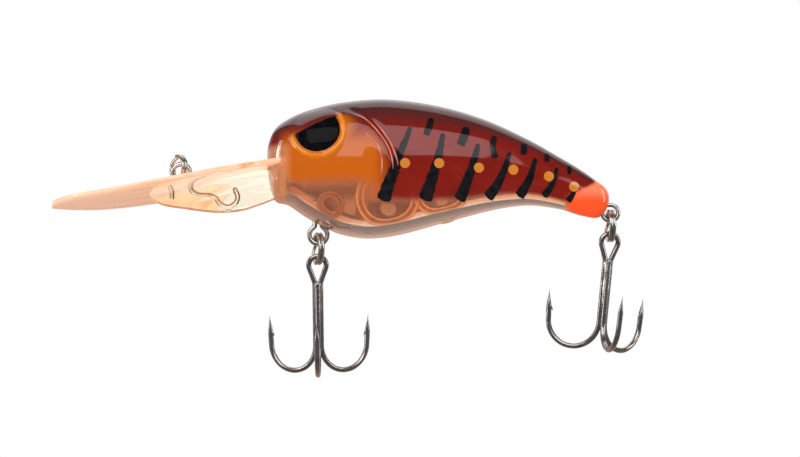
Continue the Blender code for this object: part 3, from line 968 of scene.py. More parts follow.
@dataclass(frozen=True)
class HeadRelief:
    """Raised features of the head: the ring round the eye and the edge of the gill plate."""

    eye_x: float = 23.9
    eye_z: float = 6.6
    eye_radius: float = 3.95
    ring_radius: float = 4.58
    ring_half_width: float = 0.6
    ring_height: float = 0.34
    plate_height: float = 0.32
    gill_edge: Outline = (
        (27.0, 10.6), (29.2, 9.8), (31.9, 8.6), (33.9, 6.6),
        (35.9, 3.8), (37.0, 0.8), (37.1, -0.9), (36.6, -2.6),
    )
    brow_from: tuple[float, float] = (20.0, 5.7)
    brow_to: tuple[float, float] = (27.2, 9.1)

    def below_brow(self, x: float, z: float) -> float:
        """Distance below the straight edge of the brow."""
        dx, dz = self.brow_to[0] - self.brow_from[0], self.brow_to[1] - self.brow_from[1]
        return ((x - self.brow_from[0]) * dz - (z - self.brow_from[1]) * dx) / math.hypot(dx, dz)

    def ring_share(self, x: float, z: float) -> float:
        """How much of the eye ring's height a place has."""
        gap = abs(math.hypot(x - self.eye_x, z - self.eye_z) - self.ring_radius)
        return ease(gap, self.ring_half_width, 0.0) * ease(self.below_brow(x, z), -0.9, 0.3)

    def lift(self, x: float, z: float) -> float:
        """Height of the relief over the plain form.

        Args:
            x: Place along X.
            z: Height.

        Returns:
            The height of the relief there.
        """
        lift = self.ring_height * self.ring_share(x, z)
        if 26.0 < x < 41.0 and z > -4.0:
            gap, share = distance_to(self.gill_edge, x, z)
            fade = ease(share, 0.0, 0.25) * ease(share, 1.0, 0.72)
            plate = ease(gap, -0.28, 0.22) * ease(gap, 4.5, 0.8)
            groove = ease(abs(gap + 0.75), 0.75, 0.0)
            lift += fade * (self.plate_height * plate - 0.16 * groove)
        return lift


@dataclass(frozen=True)
class PaintEdges:
    """Where each paint fades in: from none at the first number of a pair to all at the second.

    Those named top, rear or front are places of the side view. Back, belly and clear are levels, which
    run from -1 at the belly line to 1 at the back.
    """

    cheek_start: float = 27.0
    cheek: tuple[float, float] = (-0.2, 1.6)
    amber_top: tuple[float, float] = (7.8, 3.4)
    amber_rear: tuple[float, float] = (38.0, 33.0)
    amber_front: tuple[float, float] = (16.5, 18.6)
    eye_glow: tuple[float, float] = (8.2, 4.6)
    brow: tuple[float, float] = (-0.6, 0.6)
    belly_levels: tuple[float, float] = (-0.50, -0.72)
    belly_run: tuple[float, float] = (30.0, 52.0)
    chin_spread: tuple[float, float] = (1.8, 1.6)
    chin_rear: tuple[float, float] = (36.0, 30.0)
    back: tuple[float, float] = (0.42, 0.86)
    back_front: tuple[float, float] = (14.5, 17.5)
    clear: tuple[float, float] = (-0.80, -0.97)
    clear_front: tuple[float, float] = (24.0, 34.0)
    mouth_rear: tuple[float, float] = (19.8, 17.4)
    mouth_top: tuple[float, float] = (4.9, 3.2)
    tail_edge: tuple[float, float] = (67.2, 72.4)
    tail_slant: tuple[float, float] = (-5.2, -1.6)
    tail_top: tuple[float, float] = (-5.6, -3.0)
    tail_top_share: float = 0.85


@dataclass
class BodyShells:
    """The two painted halves of the body, each a closed shell with its wall."""

    form: BodyForm
    relief: HeadRelief
    finishes: Finishes
    edges: PaintEdges = field(default_factory=PaintEdges)
    relief_end: float = 42.0
    ring_points: int = 84
    inner_points: int = 28
    wall: float = 1.3
    head_wall_extra: float = 0.9
    head_wall_range: tuple[float, float] = (30.0, 22.0)
    hollow_range: tuple[float, float] = (17.5, 66.0)
    chin_colour_height: float = -2.9
    film_top: float = 0.035
    film_root: float = 0.01

    def stations(self) -> list[float]:
        """Places along X of the sections: close at both ends and over the head's relief.

        Returns:
            The places, from nose to tail.
        """
        form = self.form
        first, last = form.unwarp(form.end_angle), form.unwarp(math.pi - form.end_angle)
        nose_end, head_end, tail_start = 18.0, 39.0, 70.5
        places = []
        for low, high, count in ((first, nose_end, 16), (tail_start, last, 20)):
            angles = (form.warp(low), form.warp(high))
            places += [form.unwarp(blend(*angles, index / count)) for index in range(count + 1)]
        for low, high, step in ((nose_end, head_end, 0.25), (head_end, tail_start, 0.5)):
            count = round((high - low) / step)
            places += [blend(low, high, index / count) for index in range(1, count)]
        places.append(head_end)
        edges = [edge + offset for edge in self.hollow_range for offset in (-0.03, 0.03)]
        near = [place for place in places if all(abs(place - edge) > 0.1 for edge in edges)]
        return sorted(near + edges)

    def outer_arc(self, side: Side, x: float) -> list[Vector]:
        """Points from the top seam to the bottom one over the outside.

        Args:
            side: The half.
            x: Place of the section.

        Returns:
            The outer points.
        """
        middle, half_height, half_width = self.form.section(x)
        power = 2 / self.form.squareness
        arc_points = []
        for index in range(self.ring_points + 1):
            angle = math.pi / 2 - math.pi * index / self.ring_points
            across, rise = max(0.0, math.cos(angle)), math.sin(angle)
            y = max(self.form.half_gap, half_width * across**power)
            z = middle + half_height * math.copysign(abs(rise) ** power, rise)
            raised = x < self.relief_end and half_width * across > 1.0
            lift = self.relief.lift(x, z) if raised else 0.0
            arc_points.append(Vector((x, side.value * (y + lift), z)))
        return arc_points

    def inner_arc(self, side: Side, x: float) -> list[Vector]:
        """Points back from the bottom seam to the top one, over the hollow or the flat joint.

        Args:
            side: The half.
            x: Place of the section.

        Returns:
            The inner points.
        """
        middle, half_height, half_width = self.form.section(x)
        hollow = self.hollow_range[0] < x < self.hollow_range[1]
        wall = self.wall + self.head_wall_extra * ease(x, *self.head_wall_range)
        power = 2 / self.form.squareness
        arc_points = []
        for index in range(self.inner_points + 1):
            angle = -math.pi / 2 + math.pi * index / self.inner_points
            across, rise = max(0.0, math.cos(angle)), math.sin(angle)
            height = half_height - (wall if hollow else 0.06)
            y = (half_width - wall) * across**power if hollow else 0.0
            z = middle + height * math.copysign(abs(rise) ** power, rise)
            arc_points.append(Vector((x, side.value * max(self.form.half_gap, y), z)))
        return arc_points

    def lifted(self, side: Side, rows: Sequence[Sequence[Vector]], lift: float) -> list[list[Vector]]:
        """The outer skin's points moved out along the skin's own normals.

        Args:
            side: The half the skin is on.
            rows: Rows of its points, one to a station.
            lift: How far they move.

        Returns:
            Rows of moved points.
        """
        moved = []
        for level, row in enumerate(rows):
            before, after = rows[max(level - 1, 0)], rows[min(level + 1, len(rows) - 1)]
            line = []
            for index, point in enumerate(row):
                along = after[index] - before[index]
                down = row[min(index + 1, len(row) - 1)] - row[max(index - 1, 0)]
                normal = along.cross(down).normalized()
                line.append(point + normal * lift * (1 if normal.y * side.value >= 0 else -1))
            moved.append(line)
        return moved

    def masks(self, x: float, z: float) -> dict[str, float]:
        """How much of each paint lies at a place of the side view.

        Args:
            x: Place along X.
            z: Height.

        Returns:
            Shares from 0 to 1 by the masks' names.
        """
        edges = self.edges
        middle, half_height, _ = self.form.section(x)
        level = (z - middle) / half_height
        cheek_edge, _ = distance_to(self.relief.gill_edge, x, z)
        in_cheek = ease(cheek_edge, *edges.cheek) if x > edges.cheek_start else 1.0
        amber = in_cheek * ease(z, *edges.amber_top)
        amber *= ease(x, *edges.amber_rear) * ease(x, *edges.amber_front)
        near_eye = ease(math.hypot(x - self.relief.eye_x, z - self.relief.eye_z), *edges.eye_glow)
        under_brow = ease(self.relief.below_brow(x, z), *edges.brow)
        belly_level = blend(*edges.belly_levels, ease(x, *edges.belly_run))
        chin_top, chin_foot = edges.chin_spread
        chin = ease(z, self.chin_colour_height + chin_top, self.chin_colour_height - chin_foot)
        chin *= ease(x, *edges.chin_rear)
        tail_edge = blend(*edges.tail_edge, ease(z, *edges.tail_slant))
        tail = ease(x, tail_edge - 0.5, tail_edge + 0.6)
        return {
            "paint_back": ease(level, *edges.back) * ease(x, *edges.back_front),
            "paint_amber": max(amber, near_eye * under_brow * in_cheek),
            "paint_peach": max(ease(level, belly_level + 0.08, belly_level - 0.07), chin),
            "paint_rim": self.relief.ring_share(x, z),
            "paint_clear": ease(level, *edges.clear) * ease(x, *edges.clear_front),
            "paint_mouth": ease(x, *edges.mouth_rear) * ease(z, *edges.mouth_top),
            "paint_tail": tail,
            "paint_tail_top": edges.tail_top_share * tail * ease(z, *edges.tail_top),
        }

    def dress(self, piece: bpy.types.Object) -> None:
        """Lays the paint masks on a piece's points.

        Args:
            piece: A piece of the body.
        """
        low, high = self.form.nose + 0.1, self.form.tail - 0.1
        spots = [vertex.co / MM for vertex in piece.data.vertices]
        found = [self.masks(min(max(spot.x, low), high), spot.z) for spot in spots]
        for name in found[0]:
            layer = piece.data.attributes.new(name, "FLOAT", "POINT")
            layer.data.foreach_set("value", [mask[name] for mask in found])

    def build(self, side: Side) -> None:
        """Makes one half.

        Args:
            side: The half.
        """
        outer = [self.outer_arc(side, x) for x in self.stations()]
        inner = [self.inner_arc(side, x) for x in self.stations()]
        draft = Draft()
        draft.rows([skin + wall for skin, wall in zip(outer, inner)], closed=True, capped=True)
        shell = draft.make(f"{side.word}_body_half", self.finishes.shell, 50.0)
        self.dress(shell)
        fit(shell, "body", Slot.BODY, f"{side.word}_body_shell")
        film = Draft()
        film.slab(self.lifted(side, outer, self.film_top), self.lifted(side, outer, self.film_root))
        paint = film.make(f"{side.word}_paint_film", self.finishes.paint, 50.0)
        self.dress(paint)
        fit(paint, "body", Slot.BODY)


@dataclass
class HeadTrim:
    """The brow over each eye and the fine lines of the gill plate."""

    shells: BodyShells
    finishes: Finishes
    brow_height: float = 0.62
    brow_reach: float = 3.1
    brow_overhang: float = 0.55
    gill_lines: tuple[Outline, ...] = (
        ((32.3, 5.7), (33.5, 4.6), (34.5, 3.3), (35.0, 1.5), (35.1, -0.5), (34.9, -1.7)),
        ((30.4, 9.3), (32.4, 8.2), (34.1, 6.4), (35.9, 3.8), (36.8, 1.3), (37.0, -0.5)),
        ((33.6, 8.2), (35.2, 6.3), (36.7, 3.9), (37.7, 1.2), (37.9, -0.2)),
    )
    line_radius: float = 0.17

    def build_brow(self, side: Side) -> None:
        """Makes the hood whose straight lower edge cuts across the eye.

        Args:
            side: The half.
        """
        form, relief = self.shells.form, self.shells.relief
        start, end = Vector(relief.brow_from), Vector(relief.brow_to)
        along = (end - start).normalized()
        upward = Vector((-along.y, along.x))
        length = (end - start).length + 2 * self.brow_overhang
        rows, below = [], []
        across_steps, up_steps = 40, 18
        for step in range(up_steps + 1):
            reach = self.brow_reach * (step / up_steps)
            row, under = [], []
            for index in range(across_steps + 1):
                share = 2 * index / across_steps - 1
                crown = math.sqrt(max(0.0, 1 - share * share))
                place = start + along * (length * (share + 1) / 2 - self.brow_overhang)
                place = place + upward * reach * crown
                height = self.brow_height * crown * ease(step / up_steps, 1.0, 0.0)
                row.append(form.skin(side, place.x, place.y, height + 0.05 if step < up_steps else -0.05))
                under.append(form.skin(side, place.x, place.y, -0.25))
            rows.append(row)
            below.append(under)
        draft = Draft()
        draft.slab(rows, below)
        brow = draft.make(f"{side.word}_brow", self.finishes.paint, 50.0)
        self.shells.dress(brow)
        fit(brow, "body", Slot.BODY)

    def build_gill_lines(self, side: Side) -> None:
        """Makes the raised lines round the gill plate, coloured pale pink as a painted highlight.

        Args:
            side: The half.
        """
        form = self.shells.form
        draft = Draft()
        for line in self.gill_lines:
            flat = smooth_path([Vector((x, 0, z)) for x, z in line], 8)
            last = len(flat) - 1
            swells = [math.sin(math.pi * (0.04 + 0.92 * index / last)) for index in range(last + 1)]
            radii = [self.line_radius * (0.25 + 0.75 * swell) for swell in swells]
            relief = self.shells.relief
            path = [form.skin(side, spot.x, spot.z, relief.lift(spot.x, spot.z) + 0.01) for spot in flat]
            draft.tube(path, radii, 10)
        fit(draft.make(f"{side.word}_gill_lines", self.finishes.ridge_highlight), "body", Slot.BODY)

    def build(self, side: Side) -> None:
        """Makes the trim of one side."""
        self.build_brow(side)
        self.build_gill_lines(side)


@dataclass
class Eyes:
    """Domed black eyes, cut straight along the top where the brow covers them."""

    shells: BodyShells
    finishes: Finishes
    dome_height: float = 0.62
    sink: float = 0.45
    under_brow: float = 0.35

    def build(self, side: Side) -> None:
        """Makes one eye.

        Args:
            side: The half.
        """
        form, relief = self.shells.form, self.shells.relief
        rings, spokes = 16, 64
        rows, below = [], []
        for ring in range(rings + 1):
            share = math.sin(math.pi / 2 * ring / rings)
            row, under = [], []
            for spoke in range(spokes):
                angle = 2 * math.pi * spoke / spokes
                x = relief.eye_x + relief.eye_radius * max(share, 0.001) * math.cos(angle)
                z = relief.eye_z + relief.eye_radius * max(share, 0.001) * math.sin(angle)
                over = -relief.below_brow(x, z) - self.under_brow
                if over > 0:
                    x, z = self._pulled_back(x, z, over)
                height = self.dome_height * math.sqrt(max(0.0, 1 - share * share))
                row.append(form.skin(side, x, z, height - (0.02 if ring == rings else 0.0)))
                under.append(form.skin(side, x, z, -self.sink))
            rows.append(row)
            below.insert(0, under)
        draft = Draft()
        draft.rows(rows + below, closed=True, capped=True)
        eye = draft.make(f"{side.word}_eye_dome", self.finishes.eye, 50.0)
        fit(eye, "body", Slot.EYE, f"{side.word}_eye")

    def _pulled_back(self, x: float, z: float, over: float) -> tuple[float, float]:
        """A place moved square back to the brow's line.

        Args:
            x: Place along X.
            z: Height.
            over: How far it is over the line.

        Returns:
            The moved place.
        """
        relief = self.shells.relief
        dx, dz = relief.brow_to[0] - relief.brow_from[0], relief.brow_to[1] - relief.brow_from[1]
        length = math.hypot(dx, dz)
        return x + over * dz / length, z - over * dx / length


@dataclass(frozen=True)
class Stroke:
    """One sprayed bar: its middle line and its width at each end."""

    line: Outline
    start_width: float
    end_width: float


@dataclass
class Markings:
    """Black bars and orange spots, sprayed on as thin closed films."""

    shells: BodyShells
    finishes: Finishes
    lift: float = 0.07
    bars: tuple[Stroke, ...] = (
        Stroke(((40.0, 7.0), (39.4, 5.1), (38.2, 2.2), (37.3, -0.5), (36.2, -3.3), (35.3, -6.0)), 0.7, 2.5),
        Stroke(((45.7, 6.0), (45.2, 3.3), (44.4, 0.0), (43.4, -3.2), (42.5, -5.8)), 0.8, 2.4),
        Stroke(((51.8, 4.2), (51.2, 1.8), (50.2, -1.4), (49.3, -3.8), (48.5, -5.6)), 0.8, 2.1),
        Stroke(((57.3, 2.9), (56.6, 0.5), (55.4, -2.3), (54.4, -3.8), (53.4, -5.0)), 0.7, 1.9),
        Stroke(((61.8, 2.0), (61.3, 0.1), (60.5, -2.2), (58.9, -4.7)), 0.7, 1.8),
        Stroke(((65.5, 0.4), (65.1, -1.5), (64.4, -3.1), (63.2, -4.6)), 0.6, 1.3),
        Stroke(((68.7, -3.3), (68.2, -4.4), (67.4, -5.4)), 0.6, 1.2),
    )
    dashes: tuple[Stroke, ...] = (
        Stroke(((43.7, 8.8), (43.3, 7.1), (42.7, 5.5)), 1.1, 1.1),
        Stroke(((49.8, 7.3), (49.4, 5.7), (48.7, 3.8)), 1.4, 1.5),
        Stroke(((54.7, 5.8), (54.3, 4.0), (54.8, 1.7)), 1.0, 1.0),
        Stroke(((59.7, 4.6), (59.8, 3.5), (59.6, 2.5)), 1.1, 1.1),
        Stroke(((63.8, 3.0), (63.8, 2.2), (63.7, 1.4)), 0.9, 0.9),
        Stroke(((67.7, 0.9), (67.7, -0.7)), 0.7, 0.7),
    )
    spots: Outline = ((39.1, 0.5), (45.0, 0.6), (51.9, 0.0), (57.9, -0.2), (64.1, -1.2), (68.5, -2.9))
    spot_radius: float = 0.88

    def _film(self, draft: Draft, side: Side, rows: Sequence[Sequence[tuple[float, float]]],
              lift: float) -> None:
        """Adds a thin sheet that follows the skin over rows of places.

        Args:
            draft: What it is added to.
            side: The half it lies on.
            rows: Rows of places in the side view, each an X and a height.
            lift: How far it stands off the skin.
        """
        form, relief = self.shells.form, self.shells.relief
        top, bottom = [], []
        for row in rows:
            top.append([form.skin(side, x, z, relief.lift(x, z) + lift) for x, z in row])
            bottom.append([form.skin(side, x, z, relief.lift(x, z) - 0.06) for x, z in row])
        draft.slab(top, bottom)

    def _stroke_rows(self, stroke: Stroke) -> list[list[tuple[float, float]]]:
        """Places over one bar, which has rounded ends and slightly ragged sides.

        Args:
            stroke: The bar.

        Returns:
            Rows of places, one to a step along the bar.
        """
        path = smooth_path([Vector((x, 0, z)) for x, z in stroke.line], 8)
        last = len(path) - 1
        total = sum((b - a).length for a, b in zip(path, path[1:]))
        rows, run = [], 0.0
        for index, point in enumerate(path):
            ahead = path[min(index + 1, last)] - path[max(index - 1, 0)]
            across = Vector((ahead.z, 0, -ahead.x)).normalized()
            share = run / total
            half = blend(stroke.start_width, stroke.end_width, share) / 2
            ends = min(run / (1.1 * half), (total - run) / (0.35 * half))
            half *= math.sqrt(max(0.012, 1 - max(0.0, 1 - ends) ** 2))
            ragged = 1 + 0.07 * math.sin(11.0 * point.z + 5.0 * point.x)
            spots = [point + across * half * ragged * offset for offset in (-1.0, -0.6, -0.2, 0.2, 0.6, 1.0)]
            rows.append([(spot.x, spot.z) for spot in spots])
            if index < last:
                run += (path[index + 1] - point).length
        return rows

    def build(self, side: Side) -> None:
        """Makes the markings of one side.

        Args:
            side: The half.
        """
        black = Draft()
        for stroke in self.bars + self.dashes:
            self._film(black, side, self._stroke_rows(stroke), self.lift)
        fit(black.make(f"{side.word}_black_bars", self.finishes.black, 60.0), "body", Slot.BODY)
        orange = Draft()
        for x, z in self.spots:
            rows = []
            for ring in range(9):
                angle = math.pi * (0.02 + 0.96 * ring / 8)
                half = self.spot_radius * math.sin(angle)
                level = z + self.spot_radius * math.cos(angle)
                offsets = (-1.0, -0.75, -0.4, 0.0, 0.4, 0.75, 1.0)
                rows.append([(x + half * offset, level) for offset in offsets])
            self._film(orange, side, rows, self.lift + 0.03)
        fit(orange.make(f"{side.word}_orange_spots", self.finishes.orange, 60.0), "body", Slot.BODY)


@dataclass(frozen=True)
class Chamber:
    """A rattle chamber and its ball."""

    name: str
    x: float
    z: float
    bore: float
    outer: float
    ball: float


@dataclass
class Rattles:
    """Clear chamber walls moulded inside each half, the pegs between them and the steel balls."""

    shells: BodyShells
    finishes: Finishes
    chambers: tuple[Chamber, ...] = (
        Chamber("large", 36.1, -5.25, 4.1, 5.1, 3.55),
        Chamber("small", 45.3, -3.7, 3.7, 4.6, 3.18),
    )
    peg_places: Outline = ((41.5, 8.4), (62.5, -0.8))
    peg_radius: float = 0.85
    boss_radius: float = 1.6
    hanger_boss: tuple[float, float] = (26.0, -6.6)
    hanger_bore: float = 1.25
    hanger_boss_radius: float = 2.0
    hanger_boss_painted_highlight: float = 0.22
    ball_gap: float = 0.1
    flare: float = 0.55

    def _wall_reach(self, x: float, z: float) -> float:
        """Distance from the middle plane at which a wall meets the inside of the shell."""
        return max(0.6, self.shells.form.skin_width(x, z) - 0.75 * self.shells.wall)

    def _post(self, draft: Draft, side: Side, centre: tuple[float, float], inner: float, outer: float,
              light: float = 1.0) -> None:
        """Adds one upstanding round wall with a rounded rim, a flared root and painted rim highlights.

        Args:
            draft: What it is added to.
            side: The half it stands in.
            centre: Its place in the side view.
            inner: Radius of its bore.
            outer: Its own radius.
            light: How strongly the painted highlight is laid on its edges.
        """
        rows = []
        steps, rim = 56, 0.16
        for index in range(steps):
            angle = 2 * math.pi * index / steps
            cosine, sine = math.cos(angle), math.sin(angle)
            reach = self._wall_reach(centre[0] + outer * cosine, centre[1] + outer * sine)
            # The third number of each step is the share of painted highlight there, on the rim and round the
            # root.
            profile = (
                (inner, reach, 0.0), (inner, rim + 0.05, 0.3), (inner + rim, 0.05, 0.6),
                (outer - rim, 0.05, 0.6), (outer, rim + 0.05, 0.3), (outer, reach - 0.8, 0.0),
                (outer + self.flare * 0.3, reach - 0.35, 0.0),
                (outer + self.flare, reach, 0.1), (outer + 0.3, reach, 1.0), (outer - 0.05, reach, 0.1),
                (inner + 0.55, reach, 0.0), (inner + 0.25, reach, 0.9),
            )
            rows.append([Vector((centre[0] + radius * cosine, side.value * y, centre[1] + radius * sine))
                         for radius, y, _ in profile])
            draft.lit.extend(light * lit for _, _, lit in profile)
        draft.lit.extend(light * lit for _, _, lit in profile)
        draft.rows(rows + rows[:1], closed=True)

    def build(self, side: Side) -> None:
        """Makes the chamber walls and pegs of one half.

        Args:
            side: The half.
        """
        draft = Draft()
        for chamber in self.chambers:
            self._post(draft, side, (chamber.x, chamber.z), chamber.bore, chamber.outer)
        for centre in self.peg_places:
            self._post(draft, side, centre, self.peg_radius, self.boss_radius)
        self._post(draft, side, self.hanger_boss, self.hanger_bore, self.hanger_boss_radius,
                   self.hanger_boss_painted_highlight)
        fit(draft.make(f"{side.word}_chamber_walls", self.finishes.chamber, 60.0), "body", Slot.BODY)

    def build_balls(self) -> None:
        """Makes the balls, each with the two faint flats that lapping leaves."""
        for chamber in self.chambers:
            draft = Draft()
            centre = Vector((chamber.x, 0, chamber.z - (chamber.bore - chamber.ball - self.ball_gap)))
            rows = []
            levels, around = 30, 48
            for level in range(levels + 1):
                angle = math.pi * (0.02 + 0.96 * level / levels)
                rows.append([
                    centre + chamber.ball * Vector((
                        math.sin(angle) * math.cos(2 * math.pi * index / around), math.cos(angle),
                        math.sin(angle) * math.sin(2 * math.pi * index / around),
                    ))
                    for index in range(around)
                ])
            draft.rows(rows, closed=True, capped=True)
            ball = draft.make(f"{chamber.name}_steel_ball", self.finishes.ball)
            fit(ball, f"{chamber.name}_ball", Slot.BALL, f"{chamber.name}_rattle_ball")


# ---------------------------------------------------------------------------------------------
# The lip and its wire
# ---------------------------------------------------------------------------------------------


@dataclass
class DivingLip:
    """The paddle, the keel below it and the wire staple moulded into both."""

    finishes: Finishes
    tip: float = -22.5
    end: float = 18.7
    middle: Outline = (
        (-22.5, -5.9), (-14.6, -4.9), (-6.3, -3.7), (2.1, -2.06), (7.7, -0.6), (11.9, 0.45), (18.7, 1.8),
    )
    half_width: Outline = (
        (-22.5, 0.0), (-21.6, 3.6), (-17.4, 8.3), (-12.0, 10.6), (-4.0, 12.0), (2.1, 11.6), (7.7, 8.9),
        (11.9, 6.2), (15.0, 4.9), (18.7, 4.4),
    )
    thickness: Outline = ((-22.5, 0.9), (-10.0, 1.1), (5.0, 1.25), (18.7, 1.4))
    squareness: float = 5.0
    keel_half_thickness: float = 1.2
    keel_edge_round: float = 0.35
    keel_outline: Outline = (
        (-6.0, -3.9), (-3.6, -5.6), (1.0, -6.4), (4.5, -6.9), (7.7, -7.05), (11.0, -6.6), (14.0, -5.6),
        (17.0, -4.6), (21.4, -4.8), (21.4, 0.4), (11.9, 0.3), (4.9, -1.35), (-2.0, -3.0),
    )
    tie_half_gap: float = 1.5
    tie_wire: float = 0.45
    tie_front_end: float = -4.3
    tie_anchor: Outline = (
        (1.5, -2.2), (2.0, -3.3), (3.2, -3.9), (4.8, -4.0), (6.1, -4.6), (6.9, -5.5), (8.2, -6.05),
        (9.5, -5.4), (9.9, -4.2), (9.4, -3.1),
    )

    def warp(self, x: float) -> float:
        """Square root of the distance from the tip, which rounds the tip."""
        return math.sqrt(max(0.0, x - self.tip))

    def build_plate(self) -> None:
        """Makes the curved paddle with rounded edges."""
        stations, around = 90, 60
        first, last = self.warp(self.tip + 0.05), self.warp(self.end)
        rows = []
        for station in range(stations + 1):
            x = self.tip + blend(first, last, station / stations) ** 2
            middle = smooth_value(self.middle, self.warp, x)
            half_width = smooth_value(self.half_width, self.warp, x)
            half_thickness = smooth_value(self.thickness, self.warp, x) / 2
            row = []
            for index in range(around):
                angle = 2 * math.pi * index / around
                side, rise = math.cos(angle), math.sin(angle)
                y = half_width * math.copysign(abs(side) ** (2 / self.squareness), side)
                z = middle + half_thickness * math.copysign(abs(rise) ** (2 / self.squareness), rise)
                row.append(Vector((x, y, z)))
            rows.append(row)
        draft = Draft()
        draft.rows(rows, closed=True, capped=True)
        plate = draft.make("diving_lip_plate", self.finishes.lip, 60.0)
        layer = plate.data.attributes.new("lip_root", "FLOAT", "POINT")
        layer.data.foreach_set("value", [ease(v.co.x / MM, -18.0, 4.0) for v in plate.data.vertices])
        fit(plate, "body", Slot.LIP, "diving_lip")

    def build_keel(self) -> None:
        """Makes the upright web with softened edges."""
        closed = [Vector((x, 0, z)) for x, z in self.keel_outline]
        loop = smooth_path([*closed[:8], closed[8]], 4) + closed[9:]
        centre = sum(loop, Vector()) / len(loop)
        rows = []
        for y, inset in (
            (-1.0, 1.0), (-0.92, 0.45), (-0.7, 0.08), (-0.5, 0.0),
            (0.5, 0.0), (0.7, 0.08), (0.92, 0.45), (1.0, 1.0),
        ):
            row = []
            for point in loop:
                inward = (centre - point).normalized()
                out = Vector((0, y * self.keel_half_thickness, 0))
                row.append(point + inward * inset * self.keel_edge_round + out)
            rows.append(row)
        draft = Draft()
        draft.rows(rows, closed=True, capped=True)
        fit(draft.make("lip_keel_web", self.finishes.keel, 60.0), "body", Slot.LIP)

    def build_staple(self) -> None:
        """Makes the line tie's wire: an arch over the lip and a hooked leg inside the keel."""
        gap = self.tie_half_gap
        front = [Vector((-gap, 0, self.tie_front_end)), Vector((-gap, 0, -2.0))]
        rear = [Vector((x, 0, z)) for x, z in self.tie_anchor]
        path = front + arc((0, 0), gap, 180, 0, 20) + smooth_path(rear, 6)
        draft = Draft()
        draft.tube(path, self.tie_wire, 16)
        fit(draft.make("line_tie_staple", self.finishes.wire), "body", Slot.WIRE, "line_tie_wire")

    def build(self) -> None:
        """Makes the whole lip."""
        self.build_plate()
        self.build_keel()
        self.build_staple()


# ---------------------------------------------------------------------------------------------
# Hangers, split rings and hooks
# ---------------------------------------------------------------------------------------------


@dataclass(frozen=True)
class Hanger:
    """A wire loop whose neck of two legs is anchored in the body."""

    name: str
    centre: tuple[float, float]
    radius: float
    wire: float
    rise: float
    lean: float
    half_neck: float = 0.62
    foot: float = 1.5

    def path(self) -> list[Vector]:
        """Points of the wire's middle.

        Returns:
            The points, from one leg's end to the other's.
        """
        opening = math.degrees(math.asin(self.half_neck / self.radius))
        loop = arc((0, 0), self.radius, 90 + opening, 450 - opening, 40)
        corner = 0.35
        left = [Vector((-self.half_neck - self.foot, 0, self.rise)),
                Vector((-self.half_neck - corner, 0, self.rise)),
                Vector((-self.half_neck, 0, self.rise - corner))]
        right = [Vector((-point.x, 0, point.z)) for point in reversed(left)]
        turn = Matrix.Rotation(-math.radians(self.lean), 3, "Y")
        centre = Vector((self.centre[0], 0, self.centre[1]))
        return [centre + turn @ point for point in left + loop + right]

    def build(self, finishes: Finishes) -> None:
        """Makes the loop.

        Args:
            finishes: The lure's finishes.
        """
        draft = Draft()
        draft.tube(self.path(), self.wire, 16)
        piece = draft.make(f"{self.name}_hanger_loop", finishes.wire)
        fit(piece, "body", Slot.WIRE, f"{self.name}_hanger")


@dataclass(frozen=True)
class SplitRing:
    """Two flat turns of wire, stepping from one to the other, with cut ends."""

    name: str
    body: str
    node: str
    inner: float
    place: Matrix
    drop: float
    wire: float = 0.275
    spacing: float = 0.58
    step_half_angle: float = 30.0
    flatness: float = 3.0

    def build(self, finishes: Finishes) -> None:
        """Makes the ring in its rest place.

        Args:
            finishes: The lure's finishes.
        """
        radius = self.inner + self.wire
        first = self.step_half_angle - 2
        last = 720 - first
        count = 168
        path = []
        for index in range(count + 1):
            degrees = blend(first, last, index / count)
            share = ease(degrees, 360 - self.step_half_angle, 360 + self.step_half_angle)
            angle = math.radians(degrees)
            height = radius * math.sin(angle) - self.drop
            local = Vector((self.spacing * (share - 0.5), radius * math.cos(angle), height))
            path.append(self.place @ local)
        draft = Draft()
        draft.tube(path, self.wire, 16, self.flatness, round_ends=False)
        fit(draft.make(self.name, finishes.ring), self.body, Slot.RING, self.node)


